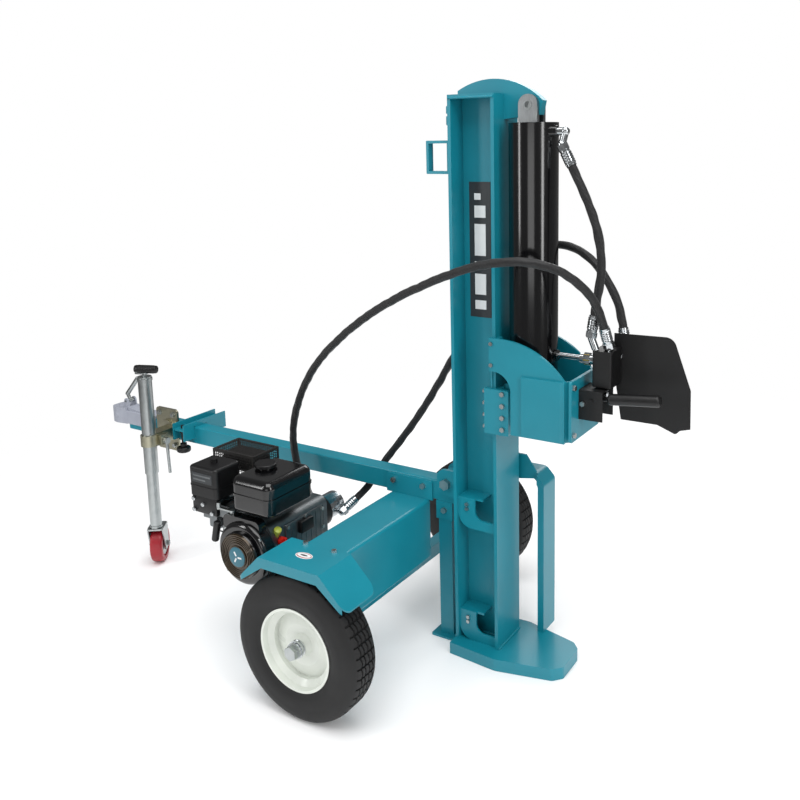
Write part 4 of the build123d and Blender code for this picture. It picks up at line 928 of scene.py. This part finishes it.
def makeJockeyTrim():
    x, y = trim["jockey"]
    turn = math.radians(trim["jockeyCrankTurn"])
    along = Vector((math.cos(turn), math.sin(turn), 0))
    start = Vector((x, y, trim["gripZ"])) + along * trim["gripLow"]
    long = trim["gripHigh"] - trim["gripLow"]
    r = trim["gripRadius"]
    profile = [(-0.5, r - 5), (1, r - 1), (4, r)]
    count, first = trim["knurls"], trim["knurlStart"]
    for k in range(count):
        at = first + k * (long - 2 * first) / count
        profile += [(at + step, r + lift) for step, lift in trim["knurl"]]
    profile += [(long - 4, r), (long - 1, r - 1), (long + 0.5, r - 5)]
    grip = spun("jockeyGrip", profile, start, along, "blackNylon", "jockey_winder", 40)
    turn = math.radians(trim["wheelTurn"])
    axis = Vector((math.cos(turn), math.sin(turn), 0))
    trail = Vector((-math.sin(turn), math.cos(turn), 0)) * trim["wheelTrail"]
    middle = Vector((x, y, 0)) + trail + Vector((0, 0, trim["wheelRadius"]))
    for side in (-1, 1):
        at = middle + axis * side * trim["discOut"]
        disc = spun("jockeyDisc%d" % side, trim["disc"], at, axis * side, "zincPlate", "jockey_roller", 48)
        at = middle + axis * side * trim["nutOut"]
        nut = spun("jockeyNut%d" % side, trim["nut"], at, axis * side, "zincPlate", "jockey_caster", 6)
    at = (x, y, trim["bandZ"])
    band = spun("jockeyTubeBand", trim["band"], at, (0, 0, 1), "zincPlate", "frame", 48, closed=True)
    for k, (boltX, boltZ) in enumerate(trim["bolts"]):
        at = (boltX, trim["boltFace"], boltZ)
        bolt = spun("jockeyBolt%d" % k, trim["bolt"], at, (0, -1, 0), "zincPlate", "frame", 6)


# valve linkage: where the lever's pull rod meets the spool
linkage = {
    "spool": (296, 10, 834), "rod": [(0, 6), (4, 7), (12, 7), (14, 5), (30, 5)],
    "eye": (284, -26, 850), "ring": [(-7, 8), (-6, 10), (6, 10), (7, 8)],
    "union": (245, 0, 933), "collar": [(-9, 15), (-8, 16.5), (8, 16.5), (9, 15)],
}


def makeLinkage():
    rod = spun("spoolRod", linkage["rod"], linkage["spool"], (0, 0, 1), "brightFitting", "mast", 32)
    eye = spun("linkEye", linkage["ring"], linkage["eye"], (0, 1, 0), "brightFitting", "mast", 32)
    collar = spun("unionCollar", linkage["collar"], linkage["union"], (1, 0, 0), "chromateGold", "mast", 6)


makeLinkage()
makeLabels()
makeJockeyTrim()
print("labels and jockey trim ready")


# weld beads: paths in millimetres, each bead a rippled fillet of paint over metal
welds = {
    "footFront": ("mast", [(1, -68, 38), (1, 68, 38)]),
    "footWeb": ("mast", [(-132, -6, 38), (-12, -6, 38)]),
    "footBack": ("mast", [(-145, -68, 38), (-145, 68, 38)]),
    "capNear": ("mast", [(-142, -70, 1632), (-2, -70, 1632)]),
    "cageNear": ("mast", [(-12, -71, 720), (-12, -71, 980)]),
    "cageFar": ("mast", [(-12, 71, 720), (-12, 71, 980)]),
    "handleLow": ("mast", [(-145, -62, 1427), (-145, -38, 1427)]),
    "handleHigh": ("mast", [(-145, -62, 1519), (-145, -38, 1519)]),
    "tankTongue": ("frame", [(-396, -28, 440), (-262, -28, 440)]),
    "shelfTank": ("frame", [(-400, -392, 249), (-400, -200, 249)]),
    "cradleNear": ("frame", [(-1330, -28, 507), (-1272, -28, 507)]),
    "cradleFar": ("frame", [(-1330, 28, 507), (-1272, 28, 507)]),
}
bead = {"radius": 3.6, "ripple": 0.5, "pitch": 5.0, "step": 1.6}


def makeWelds():
    for name, (body, ends) in welds.items():
        places = resample([Vector(p) * mm for p in ends], bead["step"] * mm)

        def radiusAt(i, angle):
            wave = abs(math.sin(math.pi * i * bead["step"] / bead["pitch"]))
            return (bead["radius"] - bead["ripple"] + 2 * bead["ripple"] * wave) * mm

        shape = bmesh.new()
        tube(shape, places, radiusAt, 12)
        piece = fromMesh(shape, name + "Weld", "tealPowderCoat", body, 80)


makeWelds()
print("welds ready")

# edge rounding of the CAD nodes, angles in degrees
softEdge = {"segments": 2, "from": 40, "sharpFrom": 35}
# finish of each CAD node and its rounding in millimetres, 0 for none
dress = {
    "beam": ("tealPowderCoat", 1.2), "foot_plate": ("tealPowderCoat", 2.5), "fence": ("tealPowderCoat", 2.0),
    "lift_handle": ("tealPowderCoat", 0.8), "side_brackets": ("tealPowderCoat", 0.8),
    "stripper_cage": ("tealPowderCoat", 1.2), "stripper_front": ("tealPowderCoat", 1.2),
    "wedge": (
        "tealPowderCoat", 0.8,
    ), "wedge_carriage": ("tealPowderCoat", 1.2), "carriage_bolts": ("zincPlate", 0.6),
    "mast_bolts": ("zincPlate", 0.8), "cylinder_barrel": (
        "blackEnamel", 1.5,
    ), "cylinder_head": ("milledSteel", 1.5),
    "cylinder_gland": (
        "milledSteel", 1.0,
    ), "clevis_pin": ("zincPlate", 1.0), "piston_rod": ("hardChrome", 0.6),
    "valve_body": ("blackCastPaint", 1.5), "mast_fittings": ("brightFitting", 0.8),
    "lever_bracket": ("blackTexturedPowder", 0.8), "valve_lever": ("blackNylon", 0.6),
    "guard_plate": ("blackTexturedPowder", 0.6), "tongue": ("tealPowderCoat", 0.4),
    "tongue_end": ("tealPowderCoat", 1.2), "support_leg": ("tealPowderCoat", 1.2),
    "hydraulic_tank": ("tealPowderCoat", 0.6), "tank_brackets": ("tealPowderCoat", 1.0),
    "axle": ("tealPowderCoat", 1.0), "fender": ("tealPowderCoat", 0.8), "frame_bolts": ("zincPlate", 0.8),
    "cradle": ("tealPowderCoat", 0.8), "cradle_pin": ("blackNylon", 0.8), "coupler_body": (
        "greyCouplerPaint", 1.5,
    ),
    "coupler_handle": ("zincPlate", 0), "jockey_bracket": (
        "yellowZinc", 1.2,
    ), "jockey_tube": ("zincPlate", 0.6),
    "jockey_stem": ("zincPlate", 0.5), "jockey_fork": ("zincPlate", 0.8), "jockey_wheel": (
        "redPolyurethane", 0,
    ),
    "jockey_crank": ("zincPlate", 0.6), "jockey_clamp_lever": ("zincPlate", 0.5),
    "engine_block": ("castAluminium", 1.5), "recoil_housing": ("blackEnamel", 0.8),
    "recoil_grip": ("blackNylon", 0.5), "fuel_tank": ("blackEnamel", 0), "fuel_cap": ("blackNylon", 0.6),
    "air_filter": ("blackNylon", 0), "carburettor": ("castAluminium", 1.0), "muffler": (
        "blackTexturedPowder", 1.0,
    ),
    "bell_housing": (
        "blackCastPaint", 1.2,
    ), "pump": ("brightFitting", 1.0), "crankshaft": ("milledSteel", 0.6),
    "engine_switch": ("redSwitchPlastic", 0.8), "throttle_lever": ("zincPlate", 0.6),
    "tyre_near": ("tyreRubber", 0), "tyre_far": ("tyreRubber", 0),
    "rim_near": ("creamEnamel", 0), "rim_far": ("creamEnamel", 0),
}


def dressNodes():
    for node, (finish, edge) in dress.items():
        piece = nodes[node]
        piece.data.materials.clear()
        piece.data.materials.append(finishes[finish])
        if edge:
            rounding = piece.modifiers.new("softEdge", "BEVEL")
            rounding.width = edge * mm
            rounding.segments = softEdge["segments"]
            rounding.limit_method = "ANGLE"
            rounding.angle_limit = math.radians(softEdge["from"])
            rounding.harden_normals = True
        piece.data.shade_smooth()
        piece.data.set_sharp_from_angle(angle=math.radians(softEdge["sharpFrom"]))


dressNodes()
print("frame pieces dressed")
